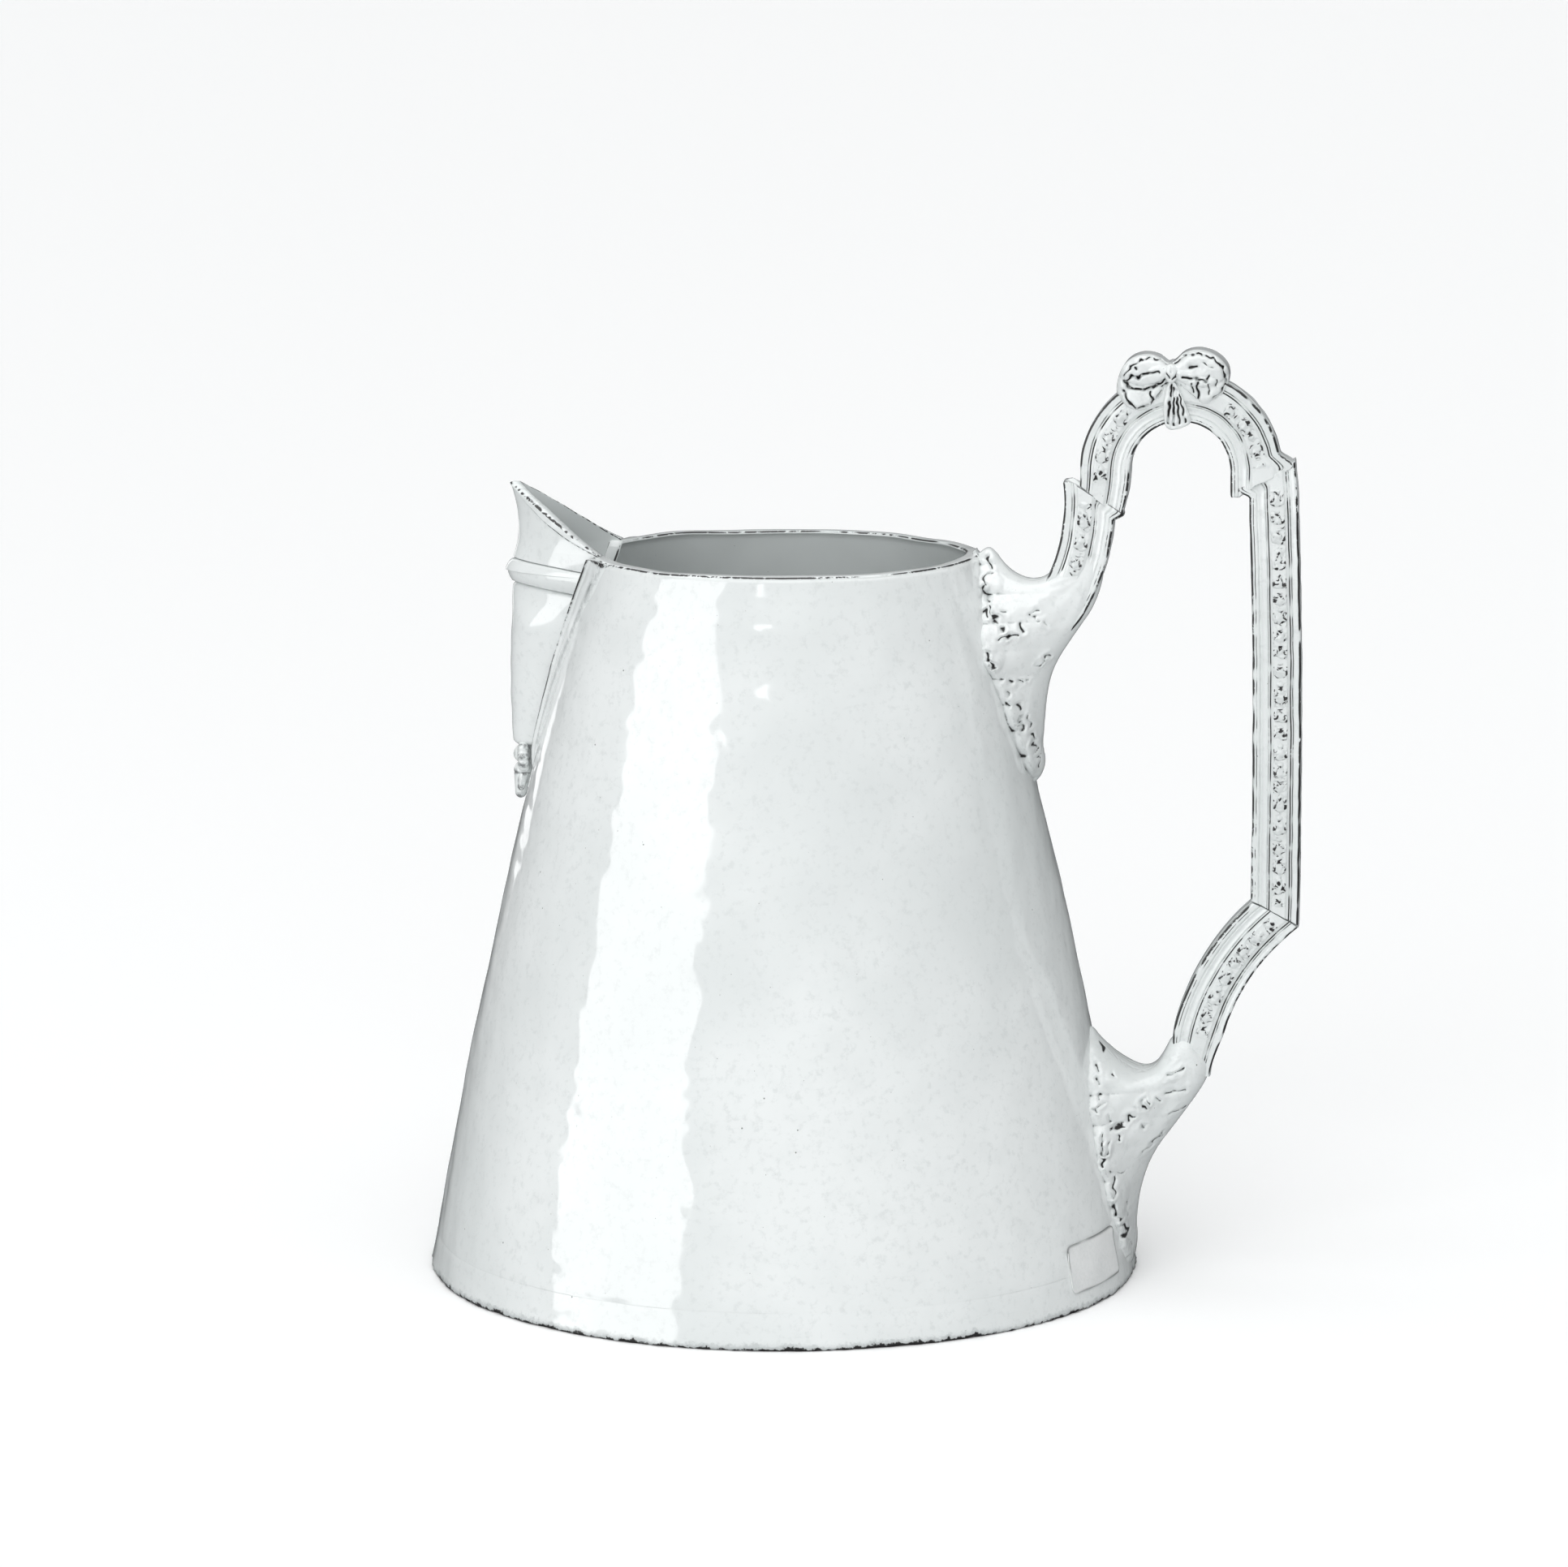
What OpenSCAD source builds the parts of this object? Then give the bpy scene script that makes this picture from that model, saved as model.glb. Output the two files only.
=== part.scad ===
// Hand-built glazed pitcher: a tapering slab body on a foot dish, a folded spout and a moulded
// handle with a ribbon bow. The origin is the centre of the foot on the surface it stands on,
// +Z is up, +X points to the handle and -X to the spout. All sizes are millimetres.

/* [Body] */
// Height of the body from foot to rim
body_h = 190; // [180:1:200]
// Outer radius at the foot
foot_r = 94.2; // [90:0.1:98]
// Outer radius at the rim
rim_r = 51.1; // [48:0.1:54]
// How far the side swells past a straight cone
side_bulge = 2; // [0:0.1:3]
// Thickness of the clay wall
wall_t = 4; // [3:0.1:5]
// Thickness of the floor
floor_t = 6; // [4:0.1:8]
// Height of the foot dish, up to the seam under the wall
foot_h = 9.5; // [9:0.1:12]

/* [Spout] */
// Height of the pouring tip
tip_z = 207.4; // [204:0.1:210]
// Distance of the pouring tip from the body's axis
tip_x = 72.6; // [71:0.1:74]
// Half width of the spout where it leaves the rim
spout_half_w = 20; // [18:0.1:22]
// Height where the spout's trough dies into the body
spout_low_z = 122; // [119:1:125]
// Thickness of the spout wall
spout_t = 3; // [2.4:0.1:3.4]
// Height of the middle of the raised roll around the spout
roll_z = 184; // [183:0.1:185]
// Height of the raised roll
roll_h = 6; // [5:0.1:7]
// How far the roll stands out
roll_bulge = 1.4; // [0.8:0.1:2]
// Thickness of the luting strap beside each spout seam
strap_t = 1.1; // [0.8:0.1:1.6]

/* [Handle] */
// Width of the handle bar, seen from the side
bar_w = 12.8; // [12:0.1:13.6]
// Thickness of the handle bar, across the handle
bar_t = 12.4; // [11:0.1:13]
// Width of the raised band along each side of the bar
band_w = 6.4; // [5:0.1:7]
// Distance of the arch's centre from the body's axis
arch_x = 103.3; // [102:0.1:104.4]
// Height of the arch's centre
arch_z = 212.4; // [211:0.1:213.6]
// Radius of the arch at the middle of the bar
arch_r = 19.4; // [18.8:0.1:20.2]
// Distance of the upright rail from the body's axis
rail_x = 129.4; // [128.4:0.1:130.4]
// Height of the mitre at the rail's lower end
rail_low_z = 97; // [95:0.1:99]

/* [Ornament] */
// Radius of the bow's two loops
loop_r = 8.4; // [7.6:0.1:9]
// How far the loops stand out from the sides of the arch
loop_proud = 2.2; // [1.2:0.1:3]
// Spacing of the husks in each garland
husk_pitch = 9.6; // [8:0.1:12]
// Radius of one husk
husk_r = 2.1; // [1.6:0.1:2.6]
// Width of the paper label, along the curve of the wall
label_w = 26.8; // [20:0.1:32]
// Height of the paper label
label_h = 12.2; // [9:0.1:15]

/* [Hidden] */
$fn = 96;

// Colours of the glaze, its greyer moulded pieces and the paper label
GLAZE = [0.90, 0.92, 0.91];
GLAZE_RELIEF = [0.84, 0.87, 0.86];
PAPER = [0.95, 0.95, 0.93];

// Steps along the body's side, and points across half of a spout ring and round a root ring
SIDE_STEPS = 8;
SPOUT_POINTS = 10;
ROOT_POINTS = 28;
// Spare length that cutters run past what they cut
OVER = 1;
// Hairline gap that keeps neighbouring pieces from overlapping
GAP = 0.05;
// How far the spout's cutters reach back into the hollow of the body, and its skin into the wall
SPOUT_DEEP = 26;
SPOUT_ROOT = 5;

// Outer radius of the body at height z
function body_r(z) = let (t = z / body_h)
    foot_r + (rim_r - foot_r) * t + side_bulge * 4 * t * (1 - t);

// Centres of the two arcs that the neck and the lower scroll follow, and their mid-bar radii
neck_centre = [20, 207];
neck_r = 60.7;
neck_sweep = 27;
neck_rise = 12;
scroll_centre = [170, 50];
scroll_r = 62;
scroll_from = 128;
scroll_to = 173.5;
// Points on the three mitres of the handle, and how steeply each one falls towards +X
collar_at = [81, 205.6];
collar_tilt = 35;
shoulder_at = [127.4, 210.2];
shoulder_tilt = -37;
corner_tilt = 27;
// Heights where the trough ends on the rosette, the rosette on the drop, and the drop's point
trough_foot = spout_low_z + 17.4;
rosette_foot = spout_low_z + 8;
drop_foot = spout_low_z - 0.2;
// Places of the bow's loops and knot on the arch
loop_left = [94.2, 235.0];
loop_right = [108.0, 235.6];
knot_at = [101, 238.2];
knot_r = 2.6;

// ---- shared shapes ----

// Side of the body as a polyline between two heights, grown outward by d
function side_line(z0, z1, d = 0) =
    [for (i = [0 : SIDE_STEPS]) let (z = z0 + (z1 - z0) * i / SIDE_STEPS) [body_r(z) + d, z]];

function reversed(list) = [for (i = [len(list) - 1 : -1 : 0]) list[i]];

// The whole body as a solid without its hollow, used to trim what is luted on to it
module body_solid(d = 0) {
    top = body_h - wall_t / 2;
    rotate_extrude() polygon(concat([[0, body_h], [0, 0]], side_line(0, foot_h, d),
        side_line(foot_h, top, d), [[body_r(body_h) + d, body_h]]));
}

// Thin skin lying on the body between two heights
module body_skin(z0, z1, d0, d1) {
    rotate_extrude() polygon(concat(side_line(z0, z1, d1), reversed(side_line(z0, z1, d0))));
}

// Closed skin over a stack of rings that all have the same number of points
module loft(rings) {
    n = len(rings[0]);
    last = len(rings) - 1;
    sides = [for (k = [0 : last - 1]) for (i = [0 : n - 1]) let (j = (i + 1) % n)
        each [[k * n + i, k * n + j, (k + 1) * n + j], [k * n + i, (k + 1) * n + j, (k + 1) * n + i]]];
    low = [[for (i = [n - 1 : -1 : 0]) i]];
    high = [[for (i = [0 : n - 1]) last * n + i]];
    polyhedron(points = [for (r = rings) each r], faces = concat(low, sides, high));
}

// Everything on one side of a tilted line in the handle's plane, right across the handle
module half_space(at, tilt) {
    reach = 90;
    translate([at[0], 0, at[1]]) rotate([0, tilt, 0])
        translate([-reach, -reach, 0]) cube([2 * reach, 2 * reach, reach]);
}

// ---- body ----

module base_dish() {
    inner = foot_r - wall_t;
    edge = 1.2;
    color(GLAZE) rotate_extrude() polygon(concat(
        [[0, floor_t], [0, 0], [foot_r - edge, 0], [foot_r - edge / 3, edge / 3]],
        side_line(edge, foot_h),
        [[body_r(foot_h) - wall_t, foot_h], [inner - 1, floor_t + 1], [inner - 3, floor_t]]));
}

module body_wall() {
    lip = wall_t / 2;
    top = body_h - lip;
    color(GLAZE) difference() {
        rotate_extrude() {
            polygon(concat(side_line(foot_h, top), reversed(side_line(foot_h, top, -wall_t))));
            translate([body_r(top) - lip, top]) circle(r = lip, $fn = 32);
        }
        spout_form(spout_t, trough_foot - 1.4, body_h + OVER, SPOUT_DEEP);
    }
}

// ---- spout ----

// Distance of the spout's front edge from the axis at height z: upright, hollowed above the roll
function spout_front(z) = z > roll_z
    ? tip_x - 2.4 * sin(180 * min(1, (z - roll_z) / (tip_z - roll_z)))
    : tip_x - 0.9 * pow((z - 150) / 40, 2);

// Half width of the spout at height z: a straight gusset that closes at its foot
function spout_half(z) = spout_half_w * min(1, (z - spout_low_z) / (body_h - spout_low_z));

// One level outline of the spout, shrunk by t, closing at depth back inside the body
function spout_ring(z, t, back) = let (
        half = max(0.6, spout_half(z) - max(0, t) * 1.15),
        front = spout_front(z) - t,
        seam = sqrt(pow(body_r(min(z, body_h)), 2) - pow(spout_half(z), 2)) - 0.6)
    concat(
        [for (i = [-SPOUT_POINTS : SPOUT_POINTS]) let (s = i / SPOUT_POINTS)
            [-(seam + (front - seam) * (1 - pow(abs(s), 1.7))), half * s, z]],
        [[-(seam - back), half, z], [-(seam - back), -half, z]]);

// Solid form of the spout between two heights, shrunk by t, grown by bulge at mid height
module spout_form(t, z0, z1, back, bulge = 0) {
    steps = 7;
    loft([for (i = [0 : steps]) let (u = i / steps)
        spout_ring(z0 + (z1 - z0) * u, t - bulge * sin(180 * u), back)]);
}

// A stretch of the spout's wall, trimmed where it meets the body
module spout_wall(z0, z1, bulge = 0) {
    difference() {
        spout_form(0, z0, z1, SPOUT_ROOT, bulge);
        spout_form(spout_t, z0 - OVER, z1 + OVER, SPOUT_DEEP);
        body_solid(GAP);
    }
}

module spout_trough() {
    color(GLAZE) spout_wall(trough_foot, roll_z - roll_h / 2);
}

module spout_roll() {
    color(GLAZE) spout_wall(roll_z - roll_h / 2, roll_z + roll_h / 2, roll_bulge);
}

module spout_lip() {
    rise = tip_z - body_h;
    run = tip_x - rim_r + 2;
    color(GLAZE) difference() {
        spout_wall(roll_z + roll_h / 2, tip_z + OVER);
        half_space([-tip_x, tip_z], atan2(rise, run));
    }
}

// A flat luting strap on the body beside one seam, side is -1 in front and 1 behind
module spout_strap(side) {
    top = body_h - 3;
    foot = spout_low_z + 20;
    waist = spout_low_z + 38;
    width = 9;
    foot_width = 2;
    color(GLAZE) intersection() {
        body_skin(foot - OVER, top + OVER, GAP, strap_t);
        rotate([0, -90, 0]) linear_extrude(height = foot_r) polygon([
            [top, side * (spout_half(top) + GAP)],
            [top, side * (spout_half(top) + width)],
            [waist, side * (spout_half(waist) + width)],
            [foot, side * (spout_half(foot) + foot_width)],
            [foot, side * (spout_half(foot) + GAP)]]);
    }
}

module spout_strap_front() spout_strap(-1);

module spout_strap_back() spout_strap(1);

module spout_rosette() {
    boss_r = 5.4;
    at = [-67.6, 0, rosette_foot + 4.4];
    color(GLAZE_RELIEF) difference() {
        intersection() {
            translate(at) sphere(r = boss_r);
            translate([-foot_r, -2 * boss_r, rosette_foot])
                cube([foot_r, 4 * boss_r, trough_foot - GAP - rosette_foot]);
        }
        body_solid(GAP);
    }
}

// Pendant bud under the rosette, swelling upward from its point
module spout_drop() {
    low = drop_foot;
    high = rosette_foot - GAP;
    middle_x = -68.6;
    lean = 1.6;
    point_r = 0.6;
    swell = 3.9;
    steps = 6;
    color(GLAZE_RELIEF) difference() {
        loft([for (i = [0 : steps]) let (u = i / steps, r = point_r + swell * sin(105 * u))
            [for (k = [0 : ROOT_POINTS - 1]) let (a = -360 * k / ROOT_POINTS)
                [middle_x - lean * (1 - u) + r * cos(a), r * sin(a), low + (high - low) * u]]]);
        body_solid(GAP);
    }
}

// ---- handle ----

// Cross-section of the bar: rounded edges and a raised band on both sides
module bar_section() {
    edge = 1.6;
    step = 0.7;
    half_w = bar_w / 2 - edge;
    half_t = bar_t / 2 - edge - step;
    square([bar_w, 2 * half_t], center = true);
    square([2 * half_w, bar_t - 2 * step], center = true);
    square([band_w, bar_t], center = true);
    for (u = [-half_w, half_w]) for (v = [-half_t, half_t]) translate([u, v]) circle(r = edge, $fn = 24);
}

// The bar bent round a centre in the handle's plane, from one angle to another, 0 being +X
module bent_bar(centre, r, from, to) {
    translate([centre[0], 0, centre[1]]) rotate([90, 0, 0]) rotate([0, 0, from])
        rotate_extrude(angle = to - from) translate([r, 0]) bar_section();
}

// A straight upright length of the bar
module straight_bar(x, z0, z1) {
    translate([x, 0, z0]) linear_extrude(height = z1 - z0) bar_section();
}

module handle_neck() {
    color(GLAZE_RELIEF) difference() {
        bent_bar(neck_centre, neck_r, -neck_sweep, neck_rise);
        half_space(collar_at, collar_tilt);
    }
}

module handle_arch() {
    leg = 2 * bar_w;
    color(GLAZE_RELIEF) difference() {
        union() {
            bent_bar([arch_x, arch_z], arch_r, 0, 180);
            for (side = [-1, 1]) straight_bar(arch_x + side * arch_r, arch_z - leg, arch_z);
        }
        intersection() {
            half_space(collar_at + [0, GAP], 180 + collar_tilt);
            translate([0, -bar_t, 0]) cube([arch_x, 2 * bar_t, arch_z + bar_w]);
        }
        intersection() {
            half_space(shoulder_at + [0, GAP], 180 + shoulder_tilt);
            translate([arch_x, -bar_t, 0]) cube([arch_x, 2 * bar_t, arch_z + bar_w]);
        }
    }
}

module handle_rail() {
    color(GLAZE_RELIEF) difference() {
        straight_bar(rail_x, rail_low_z - bar_w, shoulder_at[1] + 5);
        half_space(shoulder_at, shoulder_tilt);
        half_space([rail_x, rail_low_z], 180 + corner_tilt);
    }
}

module lower_scroll() {
    color(GLAZE_RELIEF) difference() {
        bent_bar(scroll_centre, scroll_r, scroll_from, scroll_to);
        half_space([rail_x, rail_low_z - GAP], corner_tilt);
    }
}

// Ring of a root: an ellipse hung between an upper and a lower point in the handle's plane
function root_ring(r) = let (cx = (r[0] + r[2]) / 2, cz = (r[1] + r[3]) / 2)
    [for (i = [0 : ROOT_POINTS - 1]) let (a = 360 * i / ROOT_POINTS)
        [cx + (r[0] - cx) * cos(a), r[4] * sin(a), cz + (r[1] - cz) * cos(a)]];

// A leaf-shaped root, from rings of [upper x, upper z, lower x, lower z, half width]
module root(rings) {
    color(GLAZE_RELIEF) difference() {
        loft([for (r = rings) root_ring(r)]);
        body_solid(GAP);
    }
}

module upper_root() {
    end_in = neck_centre + (neck_r - bar_w / 2) * [cos(neck_sweep), -sin(neck_sweep)];
    end_out = neck_centre + (neck_r + bar_w / 2) * [cos(neck_sweep), -sin(neck_sweep)];
    root([
        [45, 193, 60, 130, 19],
        [51, 192, 66.8, 132, 18],
        [54.5, 190.5, 69, 138, 16],
        [58.5, 187, 69.4, 150, 12.5],
        [62.5, 184.4, 72, 161.5, 9],
        [66, 183.2, 77, 170, 7.2],
        [end_in[0], end_in[1], end_out[0], end_out[1], bar_t / 2]]);
}

module lower_root() {
    end_in = scroll_centre + (scroll_r + bar_w / 2) * [cos(scroll_to), sin(scroll_to)];
    end_out = scroll_centre + (scroll_r - bar_w / 2) * [cos(scroll_to), sin(scroll_to)];
    root([
        [75, 66, 88, 1, 21],
        [82, 64, 94, 3, 20],
        [86, 60, 95, 16, 17.5],
        [91, 56, 97.6, 30, 13],
        [96, 54.2, 104, 40, 9.4],
        [99.6, 55, 110.5, 49, 7.2],
        [end_in[0], end_in[1], end_out[0], end_out[1], bar_t / 2]]);
}

// ---- ornament ----

// Puffed disc across the handle that straddles the arch
module arch_saddle(at, r, half_t) {
    rim = 2;
    color(GLAZE_RELIEF) difference() {
        translate([at[0], 0, at[1]]) rotate([90, 0, 0]) union() {
            cylinder(r = r, h = 2 * (half_t - rim), center = true);
            cylinder(r = r - rim, h = 2 * half_t, center = true);
            for (z = [rim - half_t, half_t - rim]) translate([0, 0, z])
                rotate_extrude() translate([r - rim, 0]) circle(r = rim, $fn = 24);
        }
        bent_bar([arch_x, arch_z], arch_r, 0, 180);
        children();
    }
}

// Fan shape of the tassel, grown by d, from one side of the handle to the other
module tassel_form(d, thickness) {
    foot_half = 4.4 + d;
    head_half = 1.2 + d;
    lean = 0.6;
    bottom = arch_z + arch_r - bar_w / 2 - 0.6;
    top = knot_at[1] - knot_r - 0.2 + d;
    rotate([90, 0, 0]) linear_extrude(height = thickness, center = true) polygon([
        [knot_at[0] - head_half, top], [knot_at[0] - foot_half + lean, bottom],
        [knot_at[0] + foot_half + lean, bottom], [knot_at[0] + head_half, top]]);
}

module bow_loop_left() {
    arch_saddle(loop_left, loop_r, bar_t / 2 + loop_proud) {
        translate([knot_at[0], -20, arch_z]) cube([40, 40, 60]);
        tassel_form(GAP, 2 * bar_t);
    }
}

module bow_loop_right() {
    arch_saddle(loop_right, loop_r, bar_t / 2 + loop_proud) {
        translate([knot_at[0] + GAP - 40, -20, arch_z]) cube([40, 40, 60]);
        tassel_form(GAP, 2 * bar_t);
    }
}

module bow_knot() {
    for (side = [-1, 1]) color(GLAZE_RELIEF)
        translate([knot_at[0], side * (bar_t / 2 + loop_proud + GAP), knot_at[1]]) intersection() {
            translate([0, side * -0.7, 0]) sphere(r = knot_r);
            translate([-5, side > 0 ? 0 : -10, -5]) cube(10);
        }
}

// Fluted tassel that hangs from the knot over one side of the arch
module bow_tassel(side) {
    depth = loop_proud + 0.4;
    color(GLAZE_RELIEF) translate([0, side * (bar_t / 2 + GAP + depth / 2), 0]) tassel_form(0, depth);
}

module bow_tassel_front() bow_tassel(-1);

module bow_tassel_back() bow_tassel(1);

// One husk: a dome on the bar's raised band, side is -1 in front and 1 behind
module husk(x, z, side) {
    translate([x, side * (bar_t / 2 + GAP), z]) intersection() {
        translate([0, side * -0.7, 0]) sphere(r = husk_r, $fn = 24);
        translate([-5, side > 0 ? 0 : -10, -5]) cube(10);
    }
}

// Husks on both sides of a bent bar, spaced by angle
module bent_husks(centre, r, from, to) {
    count = floor((to - from) / 180 * PI * r / husk_pitch);
    color(GLAZE_RELIEF) for (side = [-1, 1]) for (i = [0 : count]) {
        a = from + (to - from) * i / count;
        husk(centre[0] + r * cos(a), centre[1] + r * sin(a), side);
    }
}

module neck_husks() bent_husks(neck_centre, neck_r, -22, -4);

module arch_husks() {
    bent_husks([arch_x, arch_z], arch_r, 0, 42);
    bent_husks([arch_x, arch_z], arch_r, 142, 180);
}

module rail_husks(side) {
    first = rail_low_z + bar_w / 2;
    count = floor((shoulder_at[1] - bar_w / 2 - first) / husk_pitch);
    color(GLAZE_RELIEF) for (i = [0 : count]) husk(rail_x, first + i * husk_pitch, side);
}

module rail_husks_front() rail_husks(-1);

module rail_husks_back() rail_husks(1);

module scroll_husks() bent_husks(scroll_centre, scroll_r, 143, 170);

// Blank paper label with rounded corners, stuck low on the wall beside the handle
module maker_label() {
    low = foot_h / 2 + 0.2;
    corner = 1.6;
    turn = -22.4;
    paper_t = 0.3;
    color(PAPER) intersection() {
        body_skin(low - OVER, low + label_h + OVER, GAP, GAP + paper_t);
        rotate([0, 0, turn]) rotate([90, 0, 90]) linear_extrude(height = foot_r + 10)
            translate([0, low + label_h / 2]) union() {
                square([label_w - 2 * corner, label_h], center = true);
                square([label_w, label_h - 2 * corner], center = true);
                for (u = [-1, 1]) for (v = [-1, 1])
                    translate([u * (label_w / 2 - corner), v * (label_h / 2 - corner)])
                        circle(r = corner, $fn = 24);
            }
    }
}

base_dish();
body_wall();
spout_trough();
spout_roll();
spout_lip();
spout_strap_front();
spout_strap_back();
spout_rosette();
spout_drop();
upper_root();
handle_neck();
handle_arch();
handle_rail();
lower_scroll();
lower_root();
bow_loop_left();
bow_loop_right();
bow_knot();
bow_tassel_front();
bow_tassel_back();
neck_husks();
arch_husks();
rail_husks_front();
rail_husks_back();
scroll_husks();
maker_label();
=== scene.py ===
import math

import bpy
import numpy as np
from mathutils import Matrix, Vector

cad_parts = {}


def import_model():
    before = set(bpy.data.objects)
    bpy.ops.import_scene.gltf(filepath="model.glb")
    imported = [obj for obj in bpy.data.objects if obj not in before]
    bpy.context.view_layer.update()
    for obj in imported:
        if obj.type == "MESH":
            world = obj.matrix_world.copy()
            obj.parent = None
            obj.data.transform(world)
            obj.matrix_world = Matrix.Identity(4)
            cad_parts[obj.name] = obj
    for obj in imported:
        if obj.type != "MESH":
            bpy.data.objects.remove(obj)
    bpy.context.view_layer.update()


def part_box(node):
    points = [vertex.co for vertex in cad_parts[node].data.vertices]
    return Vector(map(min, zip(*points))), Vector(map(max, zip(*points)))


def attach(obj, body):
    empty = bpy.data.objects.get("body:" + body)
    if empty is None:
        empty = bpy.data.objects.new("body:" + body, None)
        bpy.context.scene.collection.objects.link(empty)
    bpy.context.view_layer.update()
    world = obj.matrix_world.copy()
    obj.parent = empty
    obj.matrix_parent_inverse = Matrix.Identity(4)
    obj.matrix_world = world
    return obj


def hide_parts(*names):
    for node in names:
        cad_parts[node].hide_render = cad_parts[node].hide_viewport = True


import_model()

import openvdb

# Geometry is worked out in millimetres, in the frame's axes: +Z up, +X to the handle, -X to the
# spout. It becomes metres when a mesh is made.
MM = 0.001


def box(node):
    """Lowest and highest corner of a CAD node, in millimetres."""
    lo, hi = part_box(node)
    return np.array(lo) / MM, np.array(hi) / MM


# ---- sizes ----

WALL_LO, WALL_HI = box("body_wall")
RAIL_LO, RAIL_HI = box("handle_rail")
ARCH_LO, ARCH_HI = box("handle_arch")
LIP_LO, LIP_HI = box("spout_lip")
ROLL_LO, ROLL_HI = box("spout_roll")

BODY_H = WALL_HI[2]
FOOT_R = 94.0
RIM_R = 51.1
BULGE = 2.0
WALL_T = 4.0
FLOOR_T = 6.0
SEAM_Z = WALL_LO[2]

TIP_X = -LIP_LO[0]
TIP_Z = LIP_HI[2]
SPOUT_HALF = 20.0
SPOUT_LOW = 122.0
SPOUT_T = 3.0
TROUGH_FOOT = 137.5
NOTCH_FOOT = 139
SEAM_SUNK = 1.6        # how deep the edges of the spout lie in the wall
ROLL_Z = (ROLL_LO[2] + ROLL_HI[2]) / 2
ROLL_HALF = (ROLL_HI[2] - ROLL_LO[2]) / 2

BAR_W = RAIL_HI[0] - RAIL_LO[0]
BAR_T = RAIL_HI[1] - RAIL_LO[1]
RAIL_X = (RAIL_LO[0] + RAIL_HI[0]) / 2
ARCH_X = (ARCH_LO[0] + ARCH_HI[0]) / 2
ARCH_R = (ARCH_HI[0] - ARCH_LO[0] - BAR_W) / 2
ARCH_Z = ARCH_HI[2] - ARCH_R - BAR_W / 2
RAIL_FOOT = 97.6
RAIL_TOP = 212.0
NECK_CENTRE = np.array([30.0, 203.0])
NECK_R = 49.9
SCROLL_CENTRE = np.array([170.0, 50.0])
SCROLL_R = 62.0


# ---- numbers and fields ----

def unit(x):
    """x kept between 0 and 1."""
    return np.clip(x, 0, 1)


def hump(x, width):
    """A soft hump: 1 where x is 0, and close to 0 two widths away."""
    return np.exp(-(x / width) ** 2)


def smooth(a, b, x):
    """0 below a, 1 above b, with soft ends."""
    t = unit((x - a) / (b - a))
    return t * t * (3 - 2 * t)


def waves(points, length, seed, count=14):
    """Soft noise of about -1 to 1: random waves of about one length, in millimetres."""
    rng = np.random.default_rng(seed)
    total = np.zeros(len(points))
    for _ in range(count):
        way = rng.normal(size=3)
        way *= 2 * math.pi / (length * rng.uniform(0.7, 1.5) * np.linalg.norm(way))
        total += np.sin(points @ way + rng.uniform(0, 2 * math.pi))
    return total / math.sqrt(count / 2)


def plane_waves(x, z, length, seed):
    """Soft noise over the places of a plane, in the shape of x."""
    flat = np.stack([x.ravel(), z.ravel(), 0 * x.ravel()], -1)
    return waves(flat, length, seed).reshape(x.shape)


def shaken(x, z, reach, length):
    """Places moved a little at random, so that straight strokes come out wavering."""
    return [c + reach * plane_waves(x, z, length, 81 + i) for i, c in enumerate((x, z))]


def rounded(corners, times=2):
    """A closed outline with its corners cut off again and again, so that it bends."""
    points = np.array(corners, float)
    for _ in range(times):
        after = np.roll(points, -1, axis=0)
        points = np.stack([0.75 * points + 0.25 * after, 0.25 * points + 0.75 * after], 1)
        points = points.reshape(-1, 2)
    return [tuple(point) for point in points]


def polar(r, angle, z):
    """Points at radius r, an angle round the axis and height z."""
    return np.stack([r * np.cos(angle), r * np.sin(angle), z], -1)


def body_r(z):
    t = z / BODY_H
    return FOOT_R + (RIM_R - FOOT_R) * t + BULGE * 4 * t * (1 - t)


def join(a, b, k):
    """Union of two distance fields with a fillet of about k."""
    h = unit(0.5 + 0.5 * (b - a) / k)
    return b + (a - b) * h - k * h * (1 - h)


def cut(a, b, k):
    """Field a with field b taken away, softened by k."""
    return -join(-a, b, k)


def ball(p, centre, r):
    return np.sqrt(sum((p[i] - centre[i]) ** 2 for i in range(3))) - r


def rod(p, a, b, ra, rb):
    """A rod from a to b whose radius runs from ra to rb."""
    a, b = np.array(a, float), np.array(b, float)
    ab = b - a
    t = sum((p[i] - a[i]) * ab[i] for i in range(3)) / (ab @ ab)
    t = unit(t)
    d = np.sqrt(sum((p[i] - a[i] - t * ab[i]) ** 2 for i in range(3)))
    return d - (ra + (rb - ra) * t)


# ---- meshes ----

NO_TRIS = np.zeros((0, 3), int)


def make_mesh(name, verts, quads, tris=NO_TRIS):
    """A mesh from millimetre points, quads and triangles, shaded smooth."""
    mesh = bpy.data.meshes.new(name)
    mesh.vertices.add(len(verts))
    mesh.vertices.foreach_set("co", (np.asarray(verts) * MM).astype(np.float32).ravel())
    corners = np.concatenate([quads.ravel(), tris.ravel()]).astype(np.int32)
    tri_starts = len(quads) * 4 + np.arange(len(tris)) * 3
    starts = np.concatenate([np.arange(len(quads)) * 4, tri_starts]).astype(np.int32)
    mesh.loops.add(len(corners))
    mesh.loops.foreach_set("vertex_index", corners)
    mesh.polygons.add(len(starts))
    mesh.polygons.foreach_set("loop_start", starts)
    mesh.update(calc_edges=True)
    mesh.validate()
    mesh.shade_smooth()
    return mesh


def edge_ends(mesh):
    ends = np.empty(len(mesh.edges) * 2, np.int32)
    mesh.edges.foreach_get("vertices", ends)
    return ends.reshape(-1, 2)


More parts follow.
